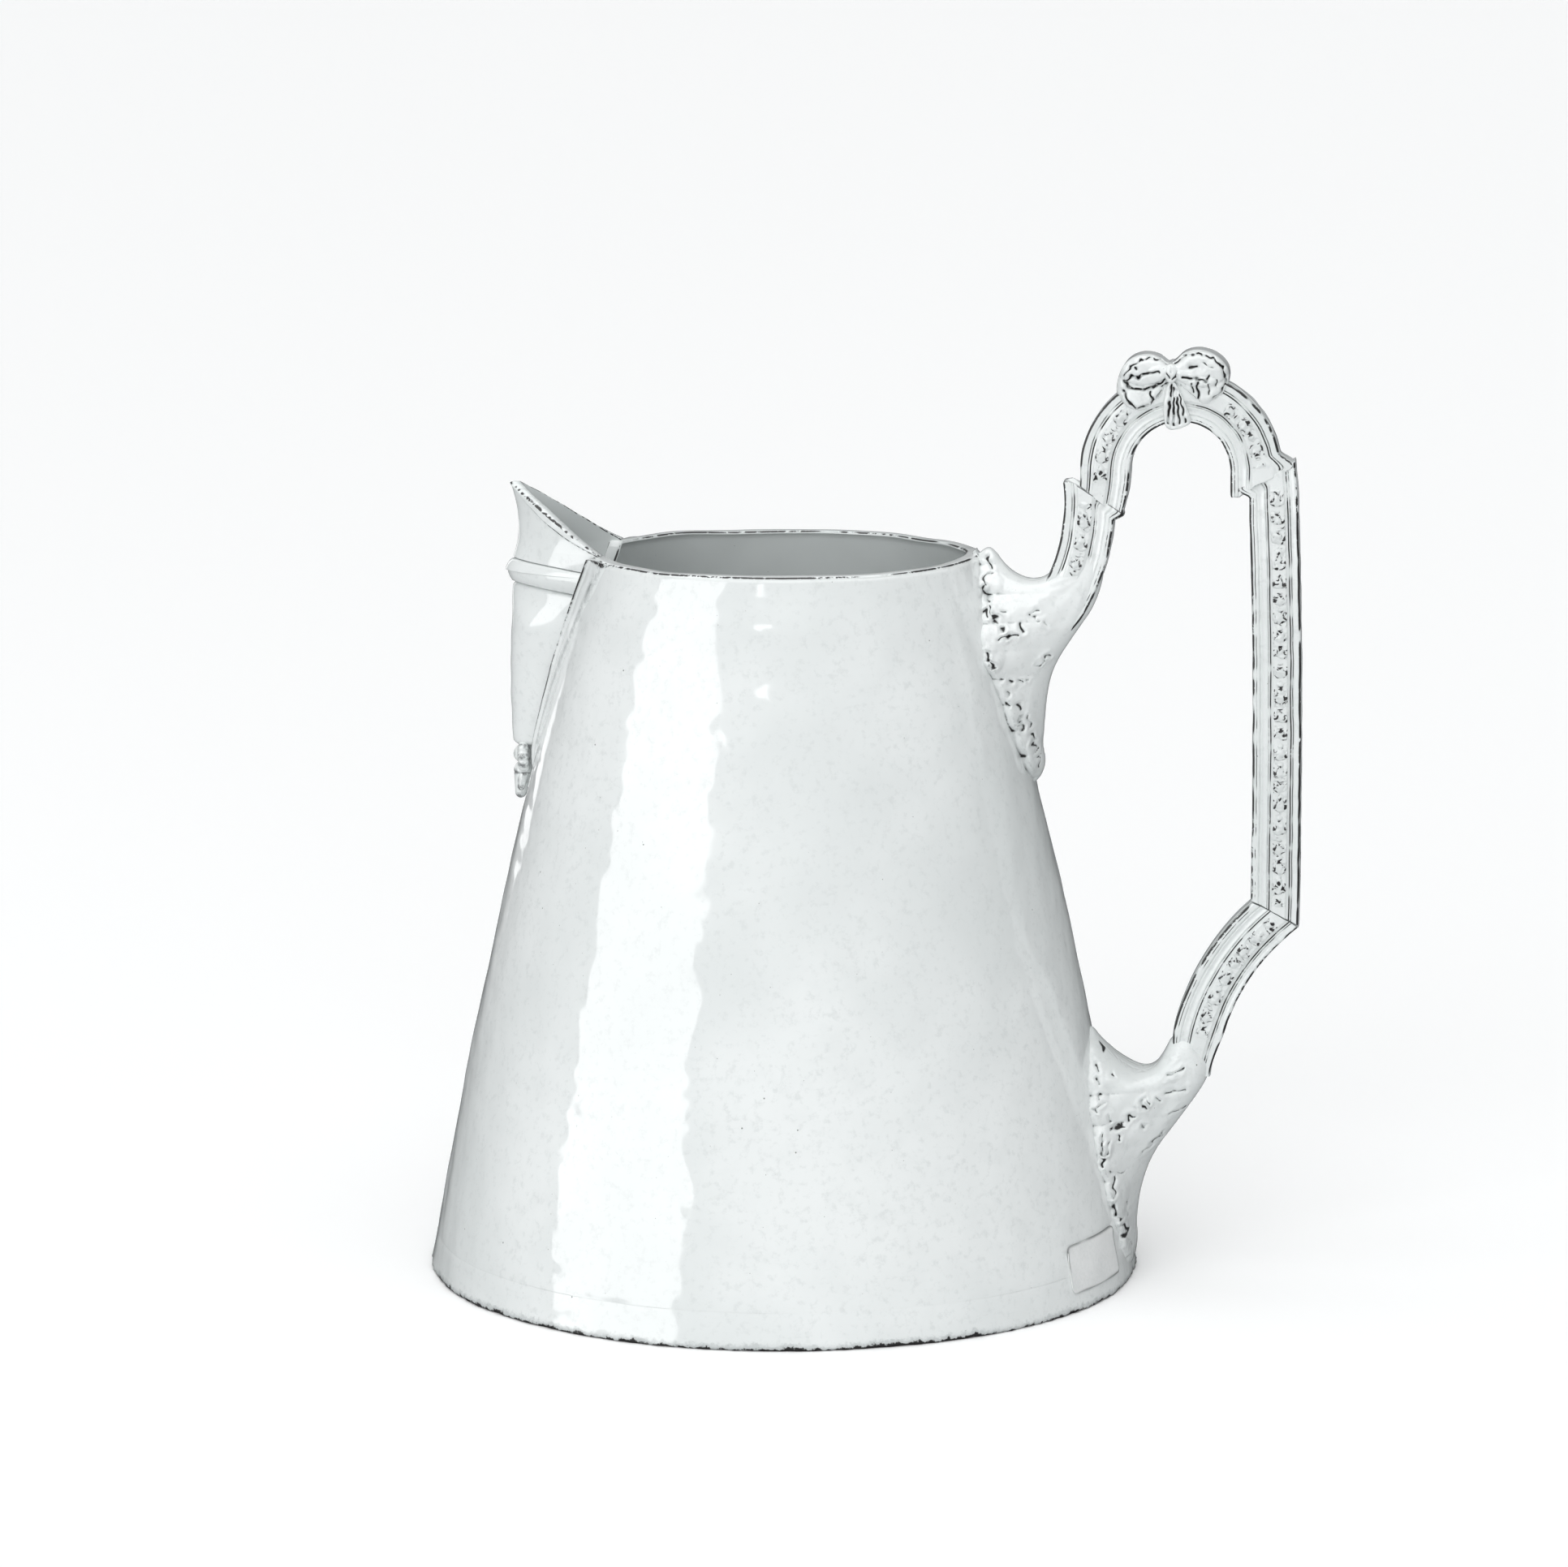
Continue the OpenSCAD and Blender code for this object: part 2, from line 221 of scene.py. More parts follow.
def relax(points, ends, times, keep=0.0):
    """Moves each point towards the mean of its neighbours, several times."""
    a, b = ends[:, 0], ends[:, 1]
    n = len(points)
    near = np.bincount(a, minlength=n) + np.bincount(b, minlength=n)
    near = np.maximum(near, 1)[:, None]
    points = points.copy()
    for _ in range(times):
        mean = np.stack([
            np.bincount(a, points[b, i], n) + np.bincount(b, points[a, i], n) for i in range(3)
        ], axis=1) / near
        points += (mean - points) * (1 - keep)
    return points


def vertex_places(mesh):
    """All vertices of a mesh in millimetres."""
    co = np.empty(len(mesh.vertices) * 3)
    mesh.vertices.foreach_get("co", co)
    return co.reshape(-1, 3) / MM


def relief_height(mesh, reach):
    """How far each vertex stands above its surroundings, in millimetres, looking a reach away."""
    co = vertex_places(mesh)
    normal = np.empty(len(co) * 3)
    mesh.vertices.foreach_get("normal", normal)
    ends = edge_ends(mesh)
    step = np.median(np.linalg.norm(co[ends[:, 0]] - co[ends[:, 1]], axis=1))
    times = int(np.clip((reach / step) ** 2, 2, 40))
    return np.einsum("ij,ij->i", co - relax(co, ends, times), normal.reshape(-1, 3))


def set_value(mesh, name, value):
    """Stores one number of 0 to 1 at each vertex."""
    layer = mesh.attributes.new(name, "FLOAT", "POINT")
    layer.data.foreach_set("value", unit(value).astype(np.float32))


def set_thin(mesh, crest, crevice):
    """Stores where the glaze runs thin, 0 to 1 at each vertex: on crests, and in crevices, where
    painted shade in hollows comes in as well.
    """
    set_value(mesh, "crest", crest)
    set_value(mesh, "crevice", crevice)


def put(name, data):
    """A new object in the scene."""
    made = bpy.data.objects.new(name, data)
    bpy.context.scene.collection.objects.link(made)
    return made


def add_piece(mesh, material, node):
    """Puts a finished mesh in the scene as the piece that stands for a CAD node."""
    piece = put(mesh.name, mesh)
    mesh.materials.append(material)
    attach(piece, "root")
    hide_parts(node)


def grid_quads(rows, cols, wrap_rows=False, wrap_cols=False):
    """Quads of a grid whose vertex (i, j) is i * cols + j."""
    i = np.arange(rows if wrap_rows else rows - 1)
    j = np.arange(cols if wrap_cols else cols - 1)
    i, j = np.meshgrid(i, j, indexing="ij")
    ni, nj = (i + 1) % rows, (j + 1) % cols
    return np.stack([i * cols + j, i * cols + nj, ni * cols + nj, ni * cols + j], -1).reshape(-1, 4)


def outward(verts, quads, tris=NO_TRIS):
    """Turns all faces round if they look inward."""
    volume = 0
    for half in ((0, 1, 2), (0, 2, 3)):
        a, b, c = (verts[quads[:, i]] for i in half)
        volume += np.einsum("ij,ij->i", a, np.cross(b, c)).sum()
    if volume >= 0:
        return quads, tris
    return quads[:, ::-1], tris[:, ::-1]


def tube_skin(rings):
    """Points, quads and triangles of a closed skin over rings (n, m, 3), each end closed by an
    inset ring and a fan."""
    insets = [ring + (ring.mean(axis=0) - ring) * 0.08 for ring in (rings[0], rings[-1])]
    rings = np.concatenate([insets[0][None], rings, insets[1][None]])
    n, m, _ = rings.shape
    verts = np.concatenate([rings.reshape(-1, 3), rings[:1].mean(axis=1), rings[-1:].mean(axis=1)])
    quads = grid_quads(n, m, wrap_cols=True)
    j = np.arange(m)
    nj = (j + 1) % m
    first = np.stack([nj, j, np.full(m, n * m)], -1)
    last = np.stack([(n - 1) * m + j, (n - 1) * m + nj, np.full(m, n * m + 1)], -1)
    quads, tris = outward(verts, quads, np.concatenate([first, last]))
    return verts, quads, tris


def tube_mesh(name, *tubes):
    """One mesh of one or more tubes, each given by its rings."""
    verts, quads, tris, count = [], [], [], 0
    for rings in tubes:
        v, q, t = tube_skin(rings)
        verts.append(v)
        quads.append(q + count)
        tris.append(t + count)
        count += len(v)
    return make_mesh(name, np.concatenate(verts), np.concatenate(quads), np.concatenate(tris))


def closed(top, under):
    """Rings that run over a top surface and back along the one under it."""
    return np.concatenate([top, under[:, ::-1]], axis=1)


def over_tube(values):
    """One value for every vertex of a tube mesh, from the values on its rings."""
    cap = np.zeros(values.shape[1])
    return np.concatenate([cap, values.ravel(), cap, [0, 0]])


def field_mesh(name, lo, hi, step, field, soften=1):
    """The zero surface of a distance field, from a fine grid of samples."""
    axes = [np.arange(lo[i], hi[i] + step, step, dtype=np.float32) for i in range(3)]
    p = np.meshgrid(*axes, indexing="ij")
    values = field(p)
    grid = openvdb.FloatGrid(background=3 * step)
    grid.copyFromArray(np.clip(values, -3 * step, 3 * step).astype(np.float32))
    points, tris, quads = grid.convertToPolygons(isovalue=0.0, adaptivity=0.0)
    verts = np.asarray(points, float) * step + np.array(lo)
    quads, tris = outward(verts, np.asarray(quads, int), np.asarray(tris, int).reshape(-1, 3))
    mesh = make_mesh(name, verts, quads, tris)
    moved = relax(verts, edge_ends(mesh), soften, 0.4) if len(mesh.vertices) == len(verts) else verts
    mesh.vertices.foreach_set("co", (moved * MM).astype(np.float32).ravel())
    mesh.update()
    return mesh


def field_piece(node, field, lo, hi, material, step, reach, gain, lines=None):
    """A piece made from a distance field between two corners. Its glaze runs thin on the crests found
    from its shape and along the drawn lines of its relief; its crevices found from the shape get
    painted shade as well as thin glaze."""
    mesh = field_mesh(node + "_skin", lo, hi, step, field)
    height = relief_height(mesh, reach) * gain
    drawn = 0 if lines is None else lines(vertex_places(mesh))
    # the crevice value from the hollows of the shape is painted shade as well as thin glaze
    set_thin(mesh, height, np.maximum(-height, drawn))
    add_piece(mesh, material, node)


# ---- materials ----

class Nodes:
    """Adds and joins the shader nodes of a material or a world."""

    def __init__(self, owner):
        owner.use_nodes = True
        self.owner = owner
        self.tree = owner.node_tree

    def fill(self, node, inputs):
        """Gives inputs of a node their links or constant values."""
        for key, value in inputs.items():
            if isinstance(value, bpy.types.NodeSocket):
                self.tree.links.new(value, node.inputs[key])
            else:
                node.inputs[key].default_value = value

    def shade(self, inputs):
        self.fill(self.tree.nodes["Principled BSDF"], inputs)

    def add(self, kind, inputs=None, **settings):
        node = self.tree.nodes.new(kind)
        for key, value in settings.items():
            setattr(node, key, value)
        self.fill(node, inputs or {})
        return node

    def math(self, operation, a, b):
        return self.add("ShaderNodeMath", {0: a, 1: b}, operation=operation).outputs[0]

    def plus(self, a, b):
        return self.math("ADD", a, b)

    def minus(self, a, b):
        return self.math("SUBTRACT", a, b)

    def times(self, a, b):
        return self.math("MULTIPLY", a, b)

    def most(self, a, b):
        return self.math("MAXIMUM", a, b)

    def ramp(self, value, low, high):
        """0 below low and 1 above high, with soft ends."""
        return self.add("ShaderNodeMapRange", {"Value": value, "From Min": low, "From Max": high},
                        interpolation_type="SMOOTHSTEP").outputs["Result"]

    def noise(self, point, length, detail=2.0, rough=0.5):
        """Noise with lumps of about the given length in millimetres."""
        return self.add("ShaderNodeTexNoise", {
            "Vector": point, "Scale": 0.5 / (length * MM), "Detail": detail, "Roughness": rough
        }).outputs["Fac"]

    def mix(self, factor, a, b):
        return self.add("ShaderNodeMix", {0: factor, 6: a, 7: b}, data_type="RGBA").outputs[2]

    def bump(self, height, distance, strength):
        return self.add("ShaderNodeBump", {
            "Height": height, "Distance": distance, "Strength": strength}).outputs["Normal"]

    def attribute(self, name):
        return self.add("ShaderNodeAttribute", attribute_name=name).outputs["Fac"]

    def point(self):
        return self.add("ShaderNodeTexCoord").outputs["Object"]


CLAY = (0.028, 0.027, 0.027, 1)
GLAZE_WHITE = (0.865, 0.89, 0.885, 1)
GLAZE_THIN = (0.78, 0.81, 0.805, 1)
GLAZE_SPECK = (0.68, 0.71, 0.705, 1)
GLAZE_GREY = (0.42, 0.45, 0.45, 1)
# painted shade: the glaze colour on the inner faces of the pitcher and the spout
GLAZE_INSIDE_SHADE = (0.70, 0.735, 0.73, 1)
PAPER_WHITE = (0.90, 0.91, 0.905, 1)
PAPER_DULL = (0.80, 0.82, 0.815, 1)
# painted shade along the label's edges
PAPER_EDGE_SHADE = (0.13, 0.14, 0.14, 1)
FLOOR_SEEN = (0.95, 0.953, 0.953, 1)
FLOOR_BOUNCE = (0.78, 0.79, 0.795, 1)
FLOOR_MIRRORED = (0.07, 0.072, 0.075, 1)
ROOM_TINT = (0.95, 0.98, 1.0, 1)
PURE_WHITE = (1, 1, 1, 1)

PIT_RARITY = 0.62      # share of the cells that hold no pinhole
PIT_DARK = 0.75        # how black a pinhole is
# grey of thin glaze, and of painted shade in hollows
THIN_AND_SHADE_GREY = 0.55       # how grey thin glaze is
GLAZE_IOR = 1.55


def pinholes(n, point, spacing, size):
    """Small dark pits at random places, 1 at a pit."""
    cells = n.add("ShaderNodeTexVoronoi", {
        "Vector": point, "Scale": 1 / (spacing * MM), "Randomness": 1.0}).outputs
    near = n.minus(1.0, n.ramp(cells["Distance"], size / spacing * 0.5, size / spacing))
    chance = n.add("ShaderNodeSeparateColor", {"Color": cells["Color"]}).outputs[0]
    return n.times(near, n.math("GREATER_THAN", chance, PIT_RARITY))


def whole_glaze(n, point, inside):
    """Colour of unbroken glaze: cloudy and grained, and duller inside the pitcher, where the dullness
    is a painted shade.
    """
    cloud = n.noise(point, 38, 3.0, 0.55)
    fine = n.noise(point, 5, 4.0, 0.6)
    grain = n.noise(point, 1.1, 3.0, 0.7)
    white = n.mix(n.ramp(cloud, 0.36, 0.62), GLAZE_THIN, GLAZE_WHITE)
    white = n.mix(n.times(n.ramp(fine, 0.45, 0.75), 0.42), white, GLAZE_THIN)
    white = n.mix(n.times(n.ramp(grain, 0.50, 0.72), 0.48), white, GLAZE_SPECK)
    # painted shade on the faces marked inside
    return n.mix(n.attribute("inside"), white, GLAZE_INSIDE_SHADE) if inside else white


def worn_and_shaded_places(n, patchy, crest, crevice, wear):
    """How grey the thin glaze is and how dark the bare clay, on crests and in crevices, where painted
    shade in hollows comes in as well.
    """
    kinds = (("crest", crest, 0.40, 0.56), ("crevice", crevice, 0.32, 0.54))
    grey, dark = [], []
    for kind, start, low, high in kinds:
        worn = n.times(n.attribute(kind), n.ramp(patchy, low - wear, high - wear))
        grey.append(n.ramp(worn, start * 0.3, start * 1.1))
        dark.append(n.ramp(worn, start, start * 1.6))
    return n.most(*grey), n.most(*dark)


def worn_foot(n, point, broken, long_break):
    """How grey and how dark the glaze is along the foot, where it ends in a ragged edge."""
    height = n.add("ShaderNodeSeparateXYZ", {"Vector": point}).outputs["Z"]
    ragged = n.plus(height, n.times(n.minus(broken, 0.5), 4.0 * MM))
    ragged = n.plus(ragged, n.times(n.minus(long_break, 0.5), 1.6 * MM))
    grey = n.minus(1.0, n.ramp(ragged, 1.0 * MM, 2.2 * MM))
    dark = n.minus(1.0, n.ramp(ragged, 0.45 * MM, 0.85 * MM))
    return grey, dark


def glaze_surface(n, point, pits, dark):
    """Height of the glaze: orange peel and long drips, less the pits and the bare clay."""
    peel = n.noise(point, 3.4, 2.0, 0.4)
    upright = n.add("ShaderNodeMapping", {"Vector": point, "Scale": (1, 1, 0.25)}).outputs[0]
    drip = n.noise(upright, 9, 2.0)
    relief = n.plus(n.times(peel, 0.05), n.times(drip, 0.24))
    relief = n.minus(relief, n.times(pits, 0.12))
    return n.minus(relief, n.times(dark, 0.06))


def glaze_material(name, crest, crevice, wear=0.0, foot=False, inside=False):
    """White tin-like glaze over black clay: the clay shows where the glaze runs thin. Hollows get
    painted shade, and so do the inner faces when inside is set.
    """
    n = Nodes(bpy.data.materials.new(name))
    point = n.point()
    broken = n.noise(point, 1.1, 3.0, 0.7)
    long_break = n.noise(point, 9, 1.0, 0.5)
    patchy = n.plus(n.times(broken, 0.62), n.times(long_break, 0.38))
    grey, dark = worn_and_shaded_places(n, patchy, crest, crevice, wear)
    large_pits = pinholes(n, point, spacing=7.0, size=0.26)
    pits = n.most(large_pits, pinholes(n, point, spacing=3.1, size=0.13))
    dark = n.most(dark, n.times(pits, PIT_DARK))
    if foot:
        foot_grey, foot_dark = worn_foot(n, point, broken, long_break)
        grey = n.most(grey, foot_grey)
        dark = n.most(dark, foot_dark)
    # grey and dark carry thin glaze and bare clay, and painted shade in hollows
    colour = n.mix(n.times(grey, THIN_AND_SHADE_GREY), whole_glaze(n, point, inside), GLAZE_GREY)
    sheen = n.plus(0.045, n.times(n.noise(point, 14, 2.0), 0.05))
    n.shade({
        "Base Color": n.mix(dark, colour, CLAY),
        "Roughness": n.plus(sheen, n.times(dark, 0.38)),
        "IOR": GLAZE_IOR,
        "Normal": n.bump(glaze_surface(n, point, pits, dark), MM, 0.8)})
    return n.owner


def paper_material():
    """Plain off-white label paper with a faint grain and painted shade along its edges."""
    n = Nodes(bpy.data.materials.new("label_paper"))
    point = n.point()
    grain = n.noise(point, 0.5, 3.0, 0.6)
    stain = n.noise(point, 9, 2.0)
    tone = n.plus(n.times(grain, 0.4), n.times(stain, 0.6))
    paper = n.mix(n.ramp(tone, 0.35, 0.65), PAPER_DULL, PAPER_WHITE)
    # painted shade along the label's edges, patchy
    paper_edge_shade = n.times(n.attribute("crest"), n.ramp(stain, 0.3, 0.6))
    n.shade({
        "Base Color": n.mix(n.times(paper_edge_shade, 0.9), paper, PAPER_EDGE_SHADE),
        "Roughness": n.plus(0.35, n.times(grain, 0.2)),
        "Normal": n.bump(grain, 0.04 * MM, 0.6)})
    return n.owner


def floor_material():
    """White paper sweep, which stays grey in the reflections on the glaze."""
    n = Nodes(bpy.data.materials.new("pale_floor"))
    path = n.add("ShaderNodeLightPath").outputs
    plain = n.mix(path["Is Diffuse Ray"], FLOOR_SEEN, FLOOR_BOUNCE)
    n.shade({
        "Base Color": n.mix(path["Is Glossy Ray"], plain, FLOOR_MIRRORED),
        "Roughness": 0.55,
        "Specular IOR Level": 0.2,
        "Emission Color": PURE_WHITE,
        "Emission Strength": n.times(path["Is Camera Ray"], 0.10)})
    return n.owner


# ---- body ----

COLUMNS = 640
WALL_ROWS = (230, 13, 120)     # up the outside, over each corner of the rim, down the inside
BASE_ROWS = 6                  # across the foot of the wall
DISH_RINGS = 45                # from the middle out, below and above
CORNER_R = 0.9                 # of the rim and of the foot
RIM_WAVER = 0.18


def unevenness(points):
    """Hand-built waver of the surface, in millimetres along the normal."""
    return (0.30 * waves(points, 120, 1) + 0.10 * waves(points, 42, 2)
            + 0.045 * waves(points, 14, 3) + 0.022 * waves(points, 7, 4)
            + 0.006 * waves(points, 3.6, 11))


def spout_half(z):
    """Half width of the spout at the wall at height z."""
    return SPOUT_HALF * np.clip((z - SPOUT_LOW) / (BODY_H - SPOUT_LOW), 0.02, 1)


def wall_top(angle):
    """Height of the wall's edge at an angle round the axis: the rim, notched behind the spout."""
    off = np.abs(np.angle(np.exp(1j * (angle - math.pi))))
    half = body_r(BODY_H - 12) * np.sin(np.minimum(off, 1.2))
    notch = NOTCH_FOOT + (BODY_H - NOTCH_FOOT) * unit((half + 1.2) / (SPOUT_HALF - 2.5)) ** 1.15
    rim = BODY_H - 0.25 + 0.2 * np.cos(2 * angle + 0.6)
    return np.minimum(notch, rim)


def wall_section(top):
    """Closed outline of the wall, radius and height, from the seam up, over the rim and down."""
    outer, lip, inner = WALL_ROWS
    corner = CORNER_R
    z_out = np.concatenate([[SEAM_Z], np.linspace(SEAM_Z + 0.05, top - corner, outer - 1)])
    r_out = body_r(z_out)
    r_top = body_r(top)
    turn = np.linspace(0, math.pi / 2, lip)[1:]
    r_lip_out = r_top - corner + corner * np.cos(turn)
    z_lip_out = top - corner + corner * np.sin(turn)
    turn = turn[::-1]
    r_lip_in = r_top - WALL_T + corner * 1.2 - corner * 1.2 * np.cos(turn)
    z_lip_in = top - corner + corner * np.sin(turn)
    z_in = np.linspace(top - corner, SEAM_Z, inner)
    r_in = body_r(z_in) - WALL_T
    r_base = np.linspace(r_in[-1], r_out[0], BASE_ROWS + 2)[1:-1]
    r = np.concatenate([r_out, r_lip_out, r_lip_in, r_in, r_base])
    z = np.concatenate([z_out, z_lip_out, z_lip_in, z_in, np.full(BASE_ROWS, SEAM_Z)])
    return r, z


def soften_seam(r, z):
    """Draws the surface in a little where the wall sits on the foot dish."""
    return r - 0.05 * hump(z - SEAM_Z, 0.7)


def rim_swell(z):
    """Thicker glaze that has run together a little below the rim."""
    return 0.35 * hump(z - BODY_H + 13, 5.0)


def rim_lines():
    """Where the glaze runs thin on the section of the wall: its two upper corners, one by one."""
    outer, lip, inner = WALL_ROWS
    turn = np.linspace(0, math.pi / 2, lip)
    peak = hump(turn[1:] - math.pi / 4, 0.34)
    rest = np.zeros(inner + BASE_ROWS)
    out = np.concatenate([np.zeros(outer), peak, 0 * peak, rest])
    into = np.concatenate([np.zeros(outer), 0 * peak, peak[::-1], rest])
    return out, into


def body_wall():
    """The tapering wall, as one closed section for each of the columns round it."""
    angles = np.linspace(0, 2 * math.pi, COLUMNS, endpoint=False)
    columns = []
    for angle in angles:
        r, z = wall_section(wall_top(angle))
        r = np.where(r > body_r(z) - 1, soften_seam(r, z) + rim_swell(z), r)
        columns.append(polar(r, angle, z))
    verts = np.concatenate(columns)
    rim = smooth(BODY_H - 8, BODY_H, verts[:, 2])
    verts[:, :2] *= (1 + unevenness(verts) / np.linalg.norm(verts[:, :2], axis=1))[:, None]
    verts[:, 2] += rim * RIM_WAVER * waves(verts, 26, 5)
    rows = len(columns[0])
    quads, _ = outward(verts, grid_quads(COLUMNS, rows, True, True))
    mesh = make_mesh("body_wall_skin", verts, quads)
    out, into = (np.tile(line, COLUMNS) for line in rim_lines())
    out = out * unit(1.05 + 0.50 * waves(verts, 9, 6))
    into = into * unit(0.95 + 0.40 * waves(verts, 12, 7))
    set_thin(mesh, np.maximum(out, into), np.zeros(len(verts)))
    # painted shade: the inner face of the wall and the inner side of the spout's notch are marked
    # inside
    depth = body_r(verts[:, 2]) - np.hypot(verts[:, 0], verts[:, 1])
    deep = smooth(WALL_T - 1.0, WALL_T - 0.6, depth)
    notch = smooth(0.8, 1.4, depth) * smooth(BODY_H - 1.0, BODY_H - 3.0, verts[:, 2])
    set_value(mesh, "inside", np.maximum(deep, notch))
    add_piece(mesh, GLAZE, "body_wall")


def base_dish():
    """The foot dish, in rings from the middle of the underside round to the middle inside."""
    angles = np.linspace(0, 2 * math.pi, COLUMNS, endpoint=False)
    edge = CORNER_R
    turn = np.linspace(-math.pi / 2, 0, 7)
    r_low = np.linspace(2, FOOT_R - edge, DISH_RINGS + 1)[:-1]
    r_edge = body_r(edge) - edge + edge * np.cos(turn)
    z_edge = edge + edge * np.sin(turn)
    z_side = np.append(np.linspace(edge, SEAM_Z - 0.05, 14)[1:], SEAM_Z)
    r_side = soften_seam(body_r(z_side), z_side)
    inner = body_r(SEAM_Z) - WALL_T
    r_in = np.array([inner + 2, inner, inner - 0.2, inner - 0.9, inner - 2.0, inner - 3.4])
    z_in = np.array([SEAM_Z, SEAM_Z - 0.1, SEAM_Z - 1.6, FLOOR_T + 0.8, FLOOR_T + 0.2, FLOOR_T])
    r_floor = np.linspace(inner - 3.4, 2, DISH_RINGS + 1)[1:]
    r = np.concatenate([r_low, r_edge, r_side, r_in, r_floor])
    z_low, z_floor = np.zeros(DISH_RINGS), np.full(DISH_RINGS, FLOOR_T)
    z = np.concatenate([z_low, z_edge, z_side, z_in, z_floor])
    rings = polar(r[:, None], angles[None, :], np.repeat(z[:, None], COLUMNS, 1))
    flat = rings.reshape(-1, 3)
    outside = smooth(FOOT_R - 3, FOOT_R - 1.5, np.hypot(flat[:, 0], flat[:, 1]))
    grow = unevenness(flat) + 0.12 * waves(flat, 3.0, 8) * smooth(2.2, 0, flat[:, 2])
    flat[:, :2] *= (1 + outside * grow / np.linalg.norm(flat[:, :2], axis=1))[:, None]
    flat[:, 2] += (1 - outside) * smooth(1, 3, flat[:, 2]) * 0.2 * waves(flat, 30, 9)
    mesh = tube_mesh("base_dish_skin", flat.reshape(rings.shape))
    height = relief_height(mesh, 1.6) * 5.0
    height *= smooth(SEAM_Z - 3, SEAM_Z - 5, vertex_places(mesh)[:, 2])
    # the hollows found from the shape take painted shade as well as thin glaze
    set_thin(mesh, height, -height)
    add_piece(mesh, GLAZE_FOOT, "base_dish")


# ---- spout ----

def spout_front(z):
    """Distance of the spout's front edge from the axis at height z."""
    above = TIP_X - 2.4 * np.sin(math.pi * unit((z - ROLL_Z) / (TIP_Z - ROLL_Z)))
    below = TIP_X - 0.9 * ((z - 150) / 40) ** 2
    return np.where(z > ROLL_Z, above, below)


def spout_point(s, z, inset):
    """A point of the spout's skin: s runs -1 to 1 from the front seam round to the back one."""
    half = spout_half(z) - np.minimum(inset * 1.1, spout_half(z) * 0.8)
    front = spout_front(z) - inset
    seam = np.sqrt(body_r(np.minimum(z, BODY_H)) ** 2 - spout_half(z) ** 2) - SEAM_SUNK
    below = smooth(ROLL_LO[2], ROLL_LO[2] - 12, z)
    sharp = 1.75 - 0.35 * smooth(ROLL_Z, TIP_Z, z) + 0.55 * below
    lean = unit(1 - np.abs(s) ** sharp) ** (1 - 0.45 * below)
    return np.stack([-(seam + (front - seam) * lean), half * s, z + 0 * s], -1)


ROLL_SAG = 2.0


def roll_bulge(s, z):
    """How far the raised roll stands out. It hangs a little lower towards the seams."""
    u = (z + ROLL_SAG * s ** 2 - ROLL_Z) / ROLL_HALF
    return 1.35 * unit(1 - u ** 2) ** 0.75


def spout_shell(node, low, high, bulge=0.0, band=0.0, foot_dark=0.45, up=90):
    """A stretch of the spout as a closed shell, whose edges over s are low and high. Bulge is the
    share of the roll, band the height of a hem along the top."""
    s, v = np.meshgrid(np.linspace(-1, 1, 250), np.linspace(0, 1, up), indexing="ij")
    above_foot = (high(s) - low(s)) * v
    below_rim = (1 - v) * (high(s) - low(s))
    z = low(s) + above_foot
    hem = 0.5 + 1.7 * np.sin(math.pi * (1 - np.abs(s)))
    border = band * smooth(-0.25, 0.25, hem - below_rim)
    outer = spout_point(s, z, -(bulge * roll_bulge(s, z) + border))
    inner = spout_point(s, z, SPOUT_T)
    ends = [np.sin(math.pi * np.clip(end * 18, 0, 0.5)) for end in (v, 1 - v)]
    pinch = 0.35 * (1 - ends[0] * ends[1])[..., None]
    outer += (inner - outer) * pinch
    inner += (outer - inner) * pinch * 0.6
    loop = closed(outer, inner)
    flat = loop.reshape(-1, 3)
    flat += 0.05 * waves(flat, 9, 21)[:, None] * [[1, 1, 0]]
    flat += 0.14 * waves(flat, 30, 22)[:, None] * [[1, 0.4, 0]]
    mesh = tube_mesh(node + "_skin", flat.reshape(loop.shape))
    ragged = unit(0.75 + 0.4 * waves(flat, 1.5, 23) + 0.35 * waves(flat, 8, 24))
    ragged = ragged.reshape(loop.shape[:2])
    edge_line = (band > 0) * hump(below_rim - 0.22, 0.20)
    hem_line = (band > 0) * 0.85 * hump(below_rim - hem - 0.1, 0.20)
    foot_line = foot_dark * hump(above_foot, 0.35)
    crest = closed(edge_line, edge_line) * ragged
    crevice = closed(np.maximum(hem_line, foot_line), 0 * v) * ragged
    set_thin(mesh, over_tube(crest), over_tube(crevice))
    # painted shade: the inner side of the spout is marked inside
    set_value(mesh, "inside", over_tube(closed(0 * v, 0 * v + 1)))
    add_piece(mesh, GLAZE_SPOUT, node)


def level(z):
    return lambda s: z + 0 * s


def sagging(z):
    return lambda s: z - ROLL_SAG * s ** 2


def lip_top(s):
    """Height of the pouring edge: highest at the tip and down to the rim at both seams."""
    rim = BODY_H + 0.2
    return rim + (TIP_Z - rim) * (1 - np.abs(s) ** 1.25)


def spout():
    low, high = sagging(ROLL_LO[2]), sagging(ROLL_HI[2])
    spout_shell("spout_trough", level(TROUGH_FOOT), low, foot_dark=0)
    spout_shell("spout_roll", low, high, bulge=1.0, up=60)
    spout_shell("spout_lip", high, lip_top, band=0.40, up=150)


RIDGE_H = 2.5
STRIP_H = 1.35
STRAP_SUNK = 1.4


